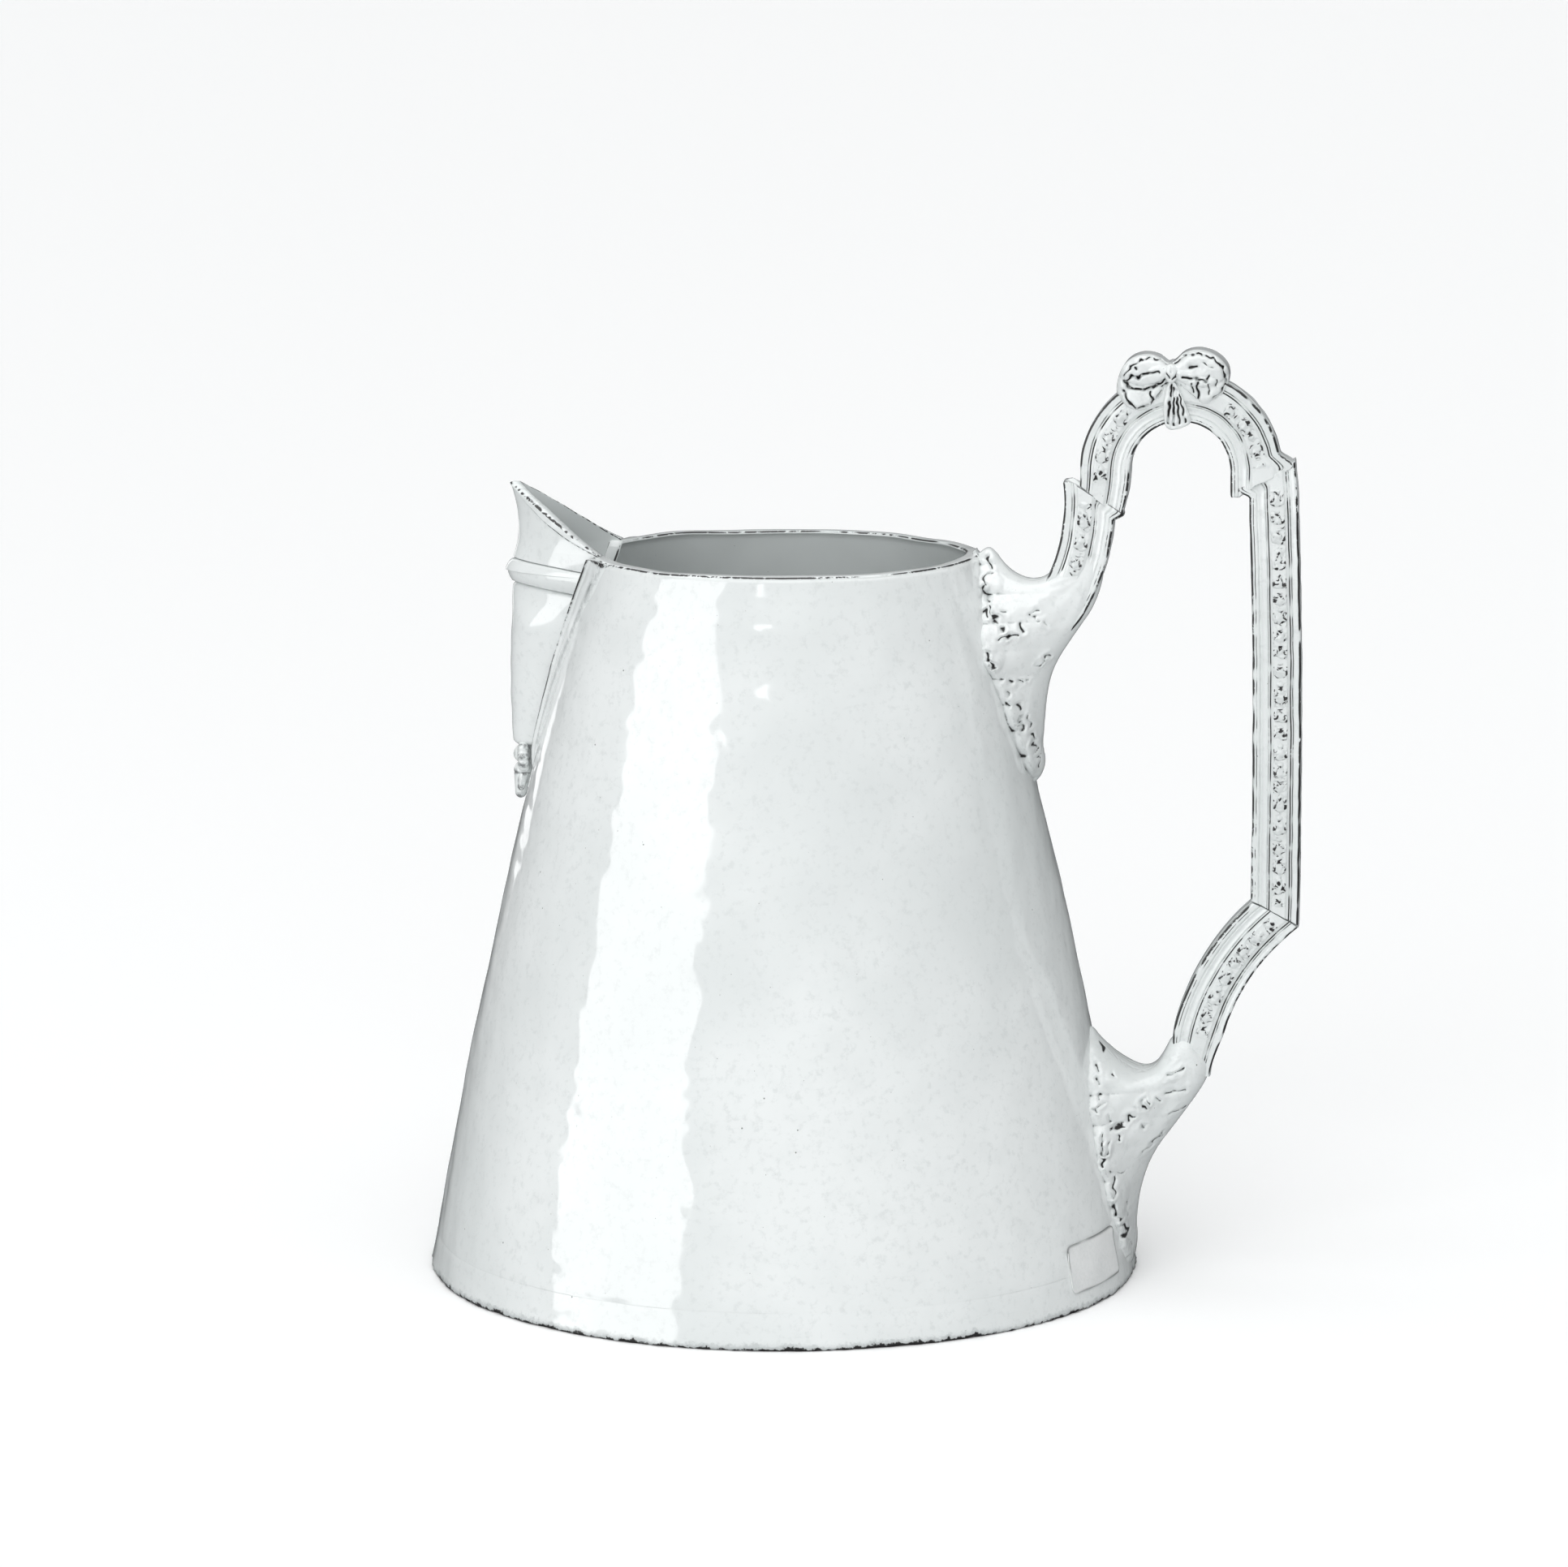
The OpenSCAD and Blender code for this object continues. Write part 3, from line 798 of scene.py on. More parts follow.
def spout_strap(side, node):
    """Ridge and luted strip along one seam of the spout, feathered into the wall."""
    z = np.linspace(128, BODY_H - 0.6, 240)[:, None]
    width = 3.2 + 8.5 * smooth(136, 182, z)
    u = np.linspace(-1.6, 1, 56)[None, :]
    zz = z + 0 * u
    reach = np.where(u < 0, u * 1.0, u * width)
    ridge = RIDGE_H * hump(reach - 0.4, 1.05)
    strip = STRIP_H * smooth(1.0, 0.62, u) * smooth(-1.5, -0.2, reach)
    height = np.maximum(ridge, strip) * smooth(126, 140, zz) - 0.25
    y = (spout_half(zz) + reach) * side
    top = wrap_on_body(y, zz, height)
    under = wrap_on_body(y, zz, np.full_like(height, -STRAP_SUNK))
    loop = closed(top, under)
    flat = loop.reshape(-1, 3)
    flat += 0.08 * waves(flat, 8, 31)[:, None] * flat / np.linalg.norm(flat, axis=1)[:, None]
    mesh = tube_mesh(node + "_skin", flat.reshape(loop.shape))
    ragged = unit(0.7 + 0.5 * waves(flat, 5, 32)).reshape(loop.shape[:2])
    # painted shade: a grey line in the groove beside the ridge and along the strip's outer edge, and
    # grey in the hollows as painted shade as well as thin glaze
    groove_shade = 0.34 * hump(reach - 2.5, 0.40)
    strip_edge_shade = 0.30 * hump((width - reach) / 0.45 - 0.6, 1)
    lines = closed(np.maximum(groove_shade, strip_edge_shade), 0 * reach) * ragged
    thin_and_shaded_hollows = np.clip(-relief_height(mesh, 1.0) * 2.2, 0, 0.8)
    set_thin(mesh, 0 * thin_and_shaded_hollows, np.maximum(over_tube(lines), thin_and_shaded_hollows))
    add_piece(mesh, GLAZE_SPOUT, node)


def wrap_on_body(y, z, height):
    """Points at sideways place y and height z on the spout side of the body, raised by height."""
    r = body_r(z)
    angle = math.pi - np.arcsin(np.clip(y / r, -1, 1))
    return polar(r + height, angle, z)


def body_gap(p):
    """Distance field of the solid body."""
    return (np.hypot(p[0], p[1]) - body_r(p[2])) * 0.975


def settle_on_body(field, p, fillet=0.9):
    """Blends a relief into the body with a glaze fillet and drops what lies deep inside it."""
    gap = body_gap(p)
    return np.maximum(join(field, gap + 0.22, fillet), -(gap + 1.3))


def rounding_off(side, rounding):
    """0 well inside an outline and up to 1 at its edge, as a quarter circle falls away."""
    c = unit(1 + side / rounding)
    return 1 - np.sqrt(1 - c ** 2)


def near(field, reach, other):
    """Keeps only what lies within reach of a field."""
    return np.maximum(other, field - reach)


ROSETTE_FOOT = 129.9


def spout_foot_relief(p):
    """Rosette and leafy drop where the trough dies into the wall."""
    q = [p[0], np.abs(p[1]), p[2]]
    boss = (-69.8, 0, 134.8)
    field = ball(q, boss, 2.3)
    for k in range(7):
        a = math.pi * k / 6 - math.pi / 2
        tip = (boss[0] + 0.9, 3.7 * math.cos(a), boss[2] + 3.9 * math.sin(a))
        field = join(field, rod(q, boss, tip, 1.2, 1.45), 0.35)
    leaf = rod(q, (-69.5, 0, 130.4), (-70.2, 0, 124.4), 2.5, 1.5)
    side = rod(q, (-69.0, 1.6, 129.5), (-69.6, 2.9, 126.4), 1.3, 1.0)
    field = join(field, join(leaf, side, 0.3), 0.3)
    field = cut(field, rod(q, (-72.4, 0.9, 129.6), (-72.3, 0.7, 126.0), 0.55, 0.4), 0.3)
    return field


def spout_foot_piece(node, side):
    """The part of the relief above the split (side 1) or below it (side -1)."""
    def field(p):
        relief = spout_foot_relief(p)
        whole = near(relief, 1.6, settle_on_body(relief, p, 0.7))
        return np.maximum(whole, side * (ROSETTE_FOOT - p[2]))

    field_piece(node, field, (-75, -8, 119), (-60, 8, 142), GLAZE_RELIEF, step=0.2, reach=0.9,
                gain=4.8)


def spout_foot():
    spout_foot_piece("spout_rosette", 1)
    spout_foot_piece("spout_drop", -1)


# ---- handle bar ----

BAND_AT = 1.0
BAND_HALF = 2.3
BAND_H = 0.70
BAR_CORNER = 0.75
GROOVE_DEEP = 0.45
GROOVES = (-4.35, -2.15, -1.6, 3.75, 4.35)
GROOVE_DARK = (0.30, 0.50, 0.90, 1.0, 0.60)


def bar_side(a):
    """Half thickness of the bar at distance a from its middle line, plus towards the outside."""
    corner = BAR_CORNER
    over = np.clip(np.abs(a) - (BAR_W / 2 - corner), 0, corner)
    base = BAR_T / 2 - 0.75 - (corner - np.sqrt(corner ** 2 - over ** 2))
    cove = -0.55 * hump(a + 3.3, 0.85) - 0.25 * hump(a - 4.9, 0.6)
    band = BAND_H * smooth(BAND_HALF, BAND_HALF - 0.7, np.abs(a - BAND_AT))
    cuts = sum(-GROOVE_DEEP * hump(a - g, 0.20) for g in GROOVES)
    return base + cove + band + cuts


def bar_outline():
    """Closed cross-section of the bar: place across the bar and thickness, (m, 2)."""
    half = BAR_W / 2
    a = half * np.sin(np.linspace(-math.pi / 2, math.pi / 2, 121))
    a = 0.6 * a + 0.4 * np.linspace(-half, half, 121)
    b = bar_side(a)
    edge = np.linspace(1, -1, 26)[1:-1]
    crown = 0.18 * (1 - edge ** 4) - 0.22 * hump(np.abs(edge) - 0.62, 0.05)
    front = np.stack([a, b], -1)
    outer = np.stack([half + crown, edge * b[-1]], -1)
    back = np.stack([a[::-1], -b[::-1]], -1)
    inner = np.stack([-half - crown, -edge * b[0]], -1)
    return np.concatenate([front, outer, back, inner])


def arc(centre, radius, from_deg, to_deg, outward_sign):
    """A bent path: gives place and outward direction in the handle's plane at 0 to 1."""
    def at(t):
        angle = np.radians(from_deg + (to_deg - from_deg) * t)
        way = np.stack([np.cos(angle), np.sin(angle)], -1)
        return np.asarray(centre) + radius * way, outward_sign * way
    at.length = abs(math.radians(to_deg - from_deg)) * radius
    return at


def rail_path(low, high):
    """The upright rail, which leans in a little towards its top."""
    def at(t):
        z = low + (high - low) * np.asarray(t)
        up = np.clip((z - 105) / 100, 0, 1.2)
        place = np.stack([RAIL_X - 0.1 - 2.0 * up ** 2.6, z], -1)
        way = np.stack([np.ones_like(z), 0.062 * up ** 1.6], -1)
        return place, way
    at.length = high - low
    return at


def arch_path(left_leg, right_leg):
    """Up the left leg, over the arch and down the right leg."""
    half_turn = math.pi * ARCH_R
    total = left_leg + half_turn + right_leg

    def at(t):
        d = np.asarray(t) * total - left_leg
        angle = math.pi - np.clip(d, 0, half_turn) / ARCH_R
        way = np.stack([np.cos(angle), np.sin(angle)], -1)
        place = np.array([ARCH_X, ARCH_Z]) + ARCH_R * way
        down = np.clip(-d, 0, None)
        place[..., 1] -= down + np.clip(d - half_turn, 0, None)
        place[..., 0] -= 1.0 * (down / max(left_leg, 1)) ** 1.5
        return place, way
    at.length = total
    at.left = left_leg
    return at


def sweep(path, a, b, t):
    """Points at across a and thickness b along a path at t; arrays of one shape."""
    place, way = path(t)
    x = place[..., 0] + a * way[..., 0]
    z = place[..., 1] + a * way[..., 1]
    return np.stack([x, np.broadcast_to(b, x.shape), z], -1)


def ring_places(length):
    """Places along a bar from 0 to 1, close together near both ends."""
    fine, coarse, reach = 0.12, 0.40, 2.4
    ends = np.arange(0, reach, fine)
    middle = np.linspace(reach, length - reach, max(10, int((length - 2 * reach) / coarse)))
    return np.concatenate([ends, middle, length - ends[::-1]]) / length


def bar_lines(a, b, joint):
    """Where the glaze runs thin on a bar: along its edges and end arrises, and in its grooves."""
    half = BAR_W / 2
    side = hump(np.abs(a) - half + 0.22, 0.31) * (np.abs(b) > 0.6 * BAR_T / 2)
    second = 0.72 * hump(a + half - 1.05, 0.13)
    crest = np.maximum(np.maximum(side, second), joint)
    grooves = sum(w * hump(a - g, 0.17) for g, w in zip(GROOVES, GROOVE_DARK))
    return crest, grooves


def bar_scale(to_start, to_end, thin, taper, joints):
    """Scale of the section along a bar: it tapers to its ends, whose arrises are rounded."""
    rounding = 1 - 0.05 * joints[0] * unit(1 - to_start / 0.5) ** 2
    rounding = rounding - 0.05 * joints[1] * unit(1 - to_end / 0.5) ** 2
    scale = rounding * (thin[0] + (1 - thin[0]) * smooth(0, taper, to_start))
    return scale * (thin[1] + (1 - thin[1]) * smooth(0, 7, to_end))


def bar_piece(node, path, start_slant=0.0, end_slant=0.0, thin=(1.0, 1.0), flare=0.0,
              width=1.0, taper=7.0, joints=(0.7, 0.7), leaning=(-9, 9), step=(0.0, 2.4)):
    """A length of bar along a path. The slants lean its end faces, in millimetres along the path
    for each millimetre across it, over the leaning stretch of the section. Thin gives the scale
    at both ends, reached over the taper, and flare spreads the outer side near the end of the
    path. Joints says how dark the ends are. Step spreads the inner side towards the end, by a
    share of the half width over a length, to meet the wider bar that follows."""
    outline = bar_outline()
    t = ring_places(path.length)[:, None]
    a, b = outline[:, 0][None, :] * width, outline[:, 1][None, :]
    to_start, to_end = t * path.length, (1 - t) * path.length
    scale = bar_scale(to_start, to_end, thin, taper, joints)
    across = a * (0.4 + 0.6 * scale)
    slant = (start_slant * (1 - t) + end_slant * t) * np.clip(across, *leaning) / path.length
    along = np.clip(t + slant, -0.3, 1.3)
    spread = flare * smooth(7.2, 4.0, (1 - along) * path.length) * np.clip(a, 0, None)
    spread = spread - step[0] * smooth(step[1], 0.2, to_end) * np.clip(-a, 0, None)
    points = sweep(path, across + spread, b * scale, along)
    flat = points.reshape(-1, 3)
    push = 0.07 * waves(flat, 11, 41) + 0.035 * waves(flat, 4, 42)
    flat += push[:, None] * [[0.6, 0, 0.6]]
    flat[:, 1] += np.sign(flat[:, 1]) * 0.5 * push
    mesh = tube_mesh(node + "_skin", flat.reshape(points.shape))
    joint = np.maximum(joints[0] * hump(to_start, 0.24), joints[1] * hump(to_end, 0.24))
    crest, crevice = np.broadcast_arrays(*bar_lines(a / width, b, joint))
    ragged = unit(1.04 + 0.40 * waves(flat, 5, 43)).reshape(crest.shape)
    set_thin(mesh, over_tube(crest * ragged), over_tube(crevice * ragged))
    add_piece(mesh, GLAZE_BAR, node)


NECK = arc(NECK_CENTRE, NECK_R, -37, 4.2, -1)
ARCH = arch_path(8.3, 3.2)
RAIL = rail_path(RAIL_FOOT, RAIL_TOP)
SCROLL = arc(SCROLL_CENTRE, SCROLL_R, 177, 130.6, -1)


def handle_bars():
    bar_piece("handle_neck", NECK, end_slant=0.80, thin=(0.9, 1.0), joints=(0, 0.75),
              leaning=(-9, 4.4), step=(0.38, 2.2))
    bar_piece("handle_arch", ARCH, start_slant=0.70, end_slant=-0.75, thin=(0.94, 1.0),
              flare=0.64, joints=(0.6, 0.6), leaning=(-4.2, 9))
    bar_piece("handle_rail", RAIL, start_slant=-0.51, end_slant=0.55, thin=(1.0, 0.95),
              width=0.965, joints=(0, 0.5), step=(0.55, 2.8))
    bar_piece("lower_scroll", SCROLL, end_slant=0.40, thin=(0.6, 0.97), taper=14, joints=(0, 0))


# ---- husk garlands ----

HUSK_PITCH = 5.0
HUSK_UNITS = 9.6
HUSK_STROKES = [(-3.6, 0.7, -2.4, 1.5), (-0.9, 1.6, 0.1, 1.2), (2.4, 0.0, 3.2, 0.2),
                (1.4, 1.1, 2.6, 1.6)]
GARLAND_EDGE = 0.35
GARLAND_SUNK = 0.9


def husk_place(d):
    """Place within a husk, for which one husk is HUSK_UNITS long, from its middle. The husks do
    not come quite evenly."""
    shifted = d + 0.8 * np.sin(d / 6.1) + 0.4 * np.sin(d / 2.7)
    return ((shifted / HUSK_PITCH) % 1 - 0.5) * HUSK_UNITS


def mound(x, y):
    """A round mound of height 1 over the unit circle."""
    return unit(1 - x ** 2 - y ** 2) ** 0.5


def husk_relief(d, a):
    """Height of the garland: d runs along it and a across it, both in millimetres."""
    u = husk_place(d)
    side = np.abs(a)
    bud = 1.15 * mound(u / 3.1, a / 1.15)
    seed = 0.8 * mound((u - 3.9) / 1.0, a / 0.8)
    lean = (side - 0.9) - 0.42 * (u + 2.2)
    leaf = 0.95 * mound((u + 0.2) / 3.0, lean / 0.72)
    tip = 0.7 * mound((u - 2.1) / 0.9, (side - 2.1) / 0.75)
    relief = np.maximum(np.maximum(bud, seed), np.maximum(leaf, tip))
    pit = -0.5 * np.exp(-((u - 3.3) / 0.7) ** 2 - ((side - 1.35) / 0.5) ** 2)
    notch = -0.45 * np.exp(-((u + 3.6) / 0.6) ** 2 - ((side - 0.9) / 0.55) ** 2)
    return 0.25 + relief * 0.85 + pit + notch


def husk_marks(d, a):
    """Where the glaze runs thin on the garland: dashes beside each bud and a dot between buds."""
    d, a = shaken(d + 0 * a, a + 0 * d, 0.24, 1.6)
    u = husk_place(d)
    side = np.abs(a)
    gaps = [stroke_gap(u, side, *stroke) for stroke in HUSK_STROKES]
    dark = hump(np.minimum.reduce(gaps), 0.46)
    worn = 0.90 + 0.45 * plane_waves(d, a, 1.4, 53) + 0.55 * plane_waves(d, a, 5, 54)
    return dark * unit(worn)


def garland_strip(path, side, first, last):
    """Rings of one garland strip between two distances along a path, and its thin places."""
    along = max(30, int((last - first) / 0.17))
    across = np.linspace(-1, 1, 36)
    d = np.linspace(first, last, along)[:, None]
    a = across[None, :] * (BAND_HALF - GARLAND_EDGE)
    flat = np.stack(np.broadcast_arrays(d, a, 0 * d), -1).reshape(-1, 3)
    worn = (0.12 * waves(flat, 3.2, 51) + 0.08 * waves(flat, 1.4, 52)).reshape(along, -1)
    fade = smooth(0, 1.6, d - first) * smooth(0, 1.6, last - d)
    fade = fade * smooth(1.0, 0.82, np.abs(across))[None, :]
    marks = fade * np.maximum(husk_marks(d, a), 0.17)
    base = bar_side(a + BAND_AT)
    height = base + fade * (0.58 * husk_relief(d, a) + worn * 0.9) - 0.30 * marks - 0.10
    t = d / path.length + 0 * a
    top = sweep(path, a + BAND_AT, side * height, t)
    under = sweep(path, a + BAND_AT, side * (base - GARLAND_SUNK), t)
    return closed(top, under), closed(marks, 0 * marks)


def garland_piece(node, path, sides, *stretches):
    """One piece with a strip of husks on each side, for each stretch of a path."""
    strips = [garland_strip(path, side, *ends) for side in sides for ends in stretches]
    mesh = tube_mesh(node + "_skin", *[rings for rings, _ in strips])
    marks = np.concatenate([over_tube(marks) for _, marks in strips])
    # painted shade in the hollows of the garland, as well as thin glaze
    thin_and_shaded_hollows = np.clip(-relief_height(mesh, 0.55) * 2.2, 0, 0.35)
    set_thin(mesh, 0 * marks, np.maximum(marks, thin_and_shaded_hollows))
    add_piece(mesh, GLAZE_GARLAND, node)


def garlands():
    """Strips of husks on the bars, which stop short of the joints, the roots and the bow."""
    both = (-1, 1)
    garland_piece("rail_husks_front", RAIL, (-1,), (1.2, RAIL.length - 3))
    garland_piece("rail_husks_back", RAIL, (1,), (1.2, RAIL.length - 3))
    garland_piece("neck_husks", NECK, both, (13, NECK.length - 1.5))
    garland_piece("scroll_husks", SCROLL, both, (11, SCROLL.length - 1.0))
    turn = math.pi * ARCH_R
    bow_left, bow_right = ARCH.left + turn * 0.30, ARCH.left + turn * 0.665
    garland_piece("arch_husks", ARCH, both, (5, bow_left), (bow_right, ARCH.length - 4.0))


# ---- roots ----

# A root is sculpted as relief seen from the side of the pitcher: how thick it is at each place
# of the handle's plane, the same on both sides. Places are (x, z) in millimetres. An edge or
# nose gives the half width or the front at a height. A boss is its place, its two radii and its
# height. A stroke is its width, its depth and the places it runs through.

UPPER = {
    "outline": [
        (48, 186), (52, 191.2), (54.5, 191.9), (58.3, 186.6), (62, 184.1), (65.8, 183.4), (69.2, 184.6),
        (71.8, 188.1), (73.6, 193), (78, 196), (82, 193), (84.2, 187), (81.7, 177.2), (76.5, 169.7),
        (71.2, 161.5), (69.2, 154.6), (68.4, 143.8), (68.1, 139.4), (69.1, 135.6), (67.9, 131.6),
        (65.6, 129.6), (56, 130)],
    "edge": [
        (129.5, 3), (136, 10.4), (143, 13.6), (150, 14.8), (158, 17.4), (165, 20.2), (171, 19),
        (177, 13), (183, 9.4), (188, 5), (192, 3)],
    "nose": [
        (129.9, 67.1), (135.3, 68.9), (143.8, 68.4), (154.6, 69.2), (161.5, 71.2), (169.7, 76.5),
        (177.2, 81.7), (186.8, 84.5)],
    "heart": (80, 186),
    "lobe": 7.0,
    "bosses": [
        (56.6, 165.4, 2.6, 4.0, 1.1), (66.6, 138.6, 1.9, 4.8, 1.3), (55.6, 183.2, 2.4, 2.2, 0.6),
        (57.0, 177.2, 2.2, 2.4, 0.6), (62.0, 151.0, 2.2, 4.6, 0.8), (67.4, 173.4, 2.6, 1.5, 0.5)],
    "strokes": [
        (0.5, 1.4, 53.4, 189.9, 54.8, 187.0), (0.35, 0.8, 53.2, 184.3, 55.2, 185.6),
        (0.5, 1.2, 52.9, 183.9, 53.6, 182.6), (0.6, 1.6, 53.0, 181.9, 55.2, 179.1),
        (0.55, 1.4, 53.9, 176.4, 54.8, 175.4), (0.55, 1.6, 54.9, 177.6, 57.0, 173.9),
        (0.5, 1.3, 58.2, 172.6, 58.6, 172.0), (0.4, 1.0, 57.8, 169.7, 60.0, 170.6),
        (0.45, 1.3, 60.0, 170.6, 62.4, 170.4), (0.6, 1.3, 63.2, 172.4, 63.7, 171.6),
        (0.5, 0.9, 65.4, 175.6, 67.0, 176.4), (0.4, 0.6, 66.0, 175.2, 68.0, 174.2),
        (0.6, 0.7, 69.2, 173.0, 69.9, 172.7), (0.5, 1.0, 58.7, 176.6, 59.0, 176.2),
        (0.45, 1.5, 55.4, 166.8, 55.6, 164.4), (0.45, 1.4, 55.6, 164.4, 57.2, 163.2),
        (0.45, 1.2, 67.3, 162.2, 68.6, 163.0), (0.35, 0.9, 68.6, 163.0, 70.4, 164.9),
        (0.6, 0.9, 58.4, 159.7, 58.9, 159.3), (0.5, 1.0, 60.6, 158.7, 61.0, 158.5),
        (0.5, 0.9, 63.0, 158.2, 63.2, 158.0), (0.4, 1.2, 64.6, 158.5, 64.8, 158.5),
        (0.5, 0.9, 59.9, 155.7, 60.3, 155.4), (0.45, 1.1, 59.8, 153.2, 60.5, 152.5),
        (0.9, 0.7, 63.2, 152.0, 63.5, 147.2), (0.5, 1.3, 62.4, 146.5, 63.8, 146.0),
        (0.45, 0.9, 65.1, 148.6, 65.8, 146.2), (0.55, 1.2, 65.9, 143.6, 66.4, 143.0),
        (0.5, 1.6, 66.6, 142.6, 67.1, 139.4), (0.45, 1.2, 67.3, 137.2, 68.5, 138.4),
        (0.4, 0.9, 67.6, 136.9, 68.0, 135.4)],
}
LOWER = {
    "outline": [
        (72, 60), (79, 64.6), (81.7, 65.3), (84, 61.9), (89.3, 56.6), (94.7, 53.9), (98.4, 55.1),
        (100.8, 58.8), (103, 63.5), (108, 64), (112.4, 58), (112.8, 54), (111.1, 49.8), (104.9, 40.8),
        (98.3, 31.8), (95.2, 22.9), (94.0, 14), (94.4, 8), (93.9, 3.6), (92, 0.9), (82, 0.9)],
    "edge": [
        (1, 14), (6.5, 15.6), (16, 18), (25, 20.8), (34, 22), (44.5, 20.4), (54.5, 16.8), (61, 8.6),
        (65.5, 4)],
    "nose": [
        (1, 93.7), (4, 93.9), (14, 94), (22.9, 95.2), (31.8, 98.3), (40.8, 104.9), (49.8, 111.1),
        (54.2, 113.2)],
    "heart": (108, 60),
    "lobe": 7.4,
    "bosses": [
        (86.6, 38.2, 2.3, 4.4, 1.1), (90.6, 24.0, 2.0, 4.6, 0.8), (96.5, 47.3, 2.0, 1.5, 0.6),
        (92.4, 12.4, 1.6, 4.4, 0.9), (85.0, 49.4, 2.2, 2.6, 0.6), (88.6, 31.6, 2.2, 2.0, 0.5)],
    "strokes": [
        (0.8, 1.1, 83.6, 62.6, 85.6, 60.0), (0.5, 1.0, 83.6, 57.2, 84.3, 56.6),
        (0.5, 1.1, 84.2, 54.6, 84.6, 53.6), (0.45, 1.2, 85.6, 50.4, 84.6, 49.2),
        (0.45, 1.1, 85.6, 48.6, 84.3, 46.7), (0.45, 1.0, 87.9, 55.0, 88.2, 54.6),
        (0.5, 1.1, 95.6, 47.9, 96.3, 46.1), (0.4, 0.8, 96.3, 48.6, 97.6, 47.6),
        (0.5, 1.2, 92.6, 44.4, 92.9, 43.4), (0.45, 0.9, 93.2, 44.6, 94.0, 44.2),
        (0.5, 1.1, 96.1, 41.2, 96.6, 41.0), (0.45, 0.9, 87.6, 44.6, 87.9, 44.1),
        (0.5, 0.9, 102.0, 53.9, 106.0, 55.5), (0.55, 0.8, 102.1, 49.6, 107.1, 50.1),
        (0.45, 0.9, 99.6, 48.1, 100.1, 47.7), (0.4, 0.7, 102.5, 43.3, 106.1, 45.1),
        (0.4, 0.9, 96.1, 33.3, 101.5, 38.7), (0.4, 1.1, 85.9, 40.4, 85.8, 36.6),
        (0.45, 1.3, 85.8, 36.6, 87.0, 35.6), (0.35, 0.9, 87.0, 35.6, 87.7, 38.6),
        (0.4, 1.2, 86.1, 34.8, 86.6, 32.2), (0.5, 0.8, 88.0, 41.7, 91.6, 42.2),
        (0.45, 1.0, 89.9, 39.4, 90.3, 39.0), (0.4, 0.6, 87.4, 31.4, 91.4, 29.5),
        (0.45, 1.4, 88.9, 28.2, 89.4, 24.2), (0.45, 1.2, 89.3, 22.2, 89.8, 19.2),
        (0.45, 1.5, 89.8, 19.2, 90.9, 17.0), (0.5, 0.8, 92.4, 21.0, 92.0, 17.0),
        (0.45, 1.3, 91.5, 15.3, 91.9, 12.8), (0.5, 1.5, 91.9, 12.8, 92.6, 10.6),
        (0.45, 1.2, 93.0, 9.6, 93.3, 8.2), (0.45, 1.1, 92.9, 5.8, 93.4, 5.0)],
}


def outline_gap(x, z, corners):
    """Distance to a closed outline in the handle's plane, negative inside."""
    best = np.full(x.shape, np.inf)
    inside = np.zeros(x.shape, bool)
    for (x0, z0), (x1, z1) in zip(corners, corners[1:] + corners[:1]):
        best = np.minimum(best, stroke_gap(x, z, x0, z0, x1, z1))
        crosses = (z0 > z) != (z1 > z)
        if z1 != z0:
            inside ^= crosses & (x < (x1 - x0) * (z - z0) / (z1 - z0) + x0)
    return np.where(inside, -best, best)


def stroke_gap(x, z, x0, z0, x1, z1):
    """Distance to a straight stroke."""
    dx, dz = x1 - x0, z1 - z0
    t = unit(((x - x0) * dx + (z - z0) * dz) / max(dx * dx + dz * dz, 1e-6))
    return np.hypot(x - x0 - t * dx, z - z0 - t * dz)


def pieces_of(strokes):
    """The straight pieces of all strokes, each as x0, z0, x1, z1, width and depth."""
    for width, depth, *places in strokes:
        ends = list(zip(places[::2], places[1::2]))
        for start, end in zip(ends, ends[1:]):
            yield *start, *end, width, depth


def curve(z, pairs):
    """A smooth line through (place, value) pairs."""
    places, values = zip(*pairs)
    return sum(np.interp(z + shift, places, values) for shift in (-1.6, -0.8, 0, 0.8, 1.6)) / 5


ROOT_ROUNDING = 4.2
ROOT_NOSE_HALF = 5.6   # half thickness where a root passes into the bar
ROOT_VEINS = 19        # veins in a whole turn round the heart of a root


def root_half(x, z, root, seed):
    """Half thickness of a root at a place of the handle's plane."""
    scallop = np.abs(np.sin(math.pi * z / root["lobe"] + 0.6)) ** 0.7 - 0.6
    width = curve(z, root["edge"]) + 1.3 * scallop
    wall = np.sqrt(np.maximum(body_r(z) ** 2 - width ** 2, 1))
    start = wall + 1.9
    s = unit((x - start) / np.maximum(curve(z, root["nose"]) - start, 2))
    thick = ROOT_NOSE_HALF + (width - ROOT_NOSE_HALF) * (1 - s) ** 1.2
    turn = np.arctan2(root["heart"][0] - x, root["heart"][1] - z)
    veins = np.cos(turn * ROOT_VEINS + 1.1 * np.sin(turn * 5))
    thick += 0.15 * veins * smooth(1.0, 0.55, s) * smooth(0.02, 0.3, s)
    thick += 0.17 * plane_waves(x, z, 9, seed) + 0.04 * plane_waves(x, z, 3.4, seed + 1)
    for bx, bz, rx, rz, height in root["bosses"]:
        reach = ((x - bx) / rx) ** 2 + ((z - bz) / rz) ** 2
        thick += 0.8 * height * unit(1.25 - reach) ** 0.8
    sx, sz = shaken(x, z, 0.30, 2.4)
    for *ends, width_here, depth in pieces_of(root["strokes"]):
        gap = stroke_gap(sx, sz, *ends)
        thick -= 0.7 * depth * hump(gap, width_here)
        thick += 0.28 * depth * hump(gap - 2.2 * width_here, 1.2 * width_here)
    return thick


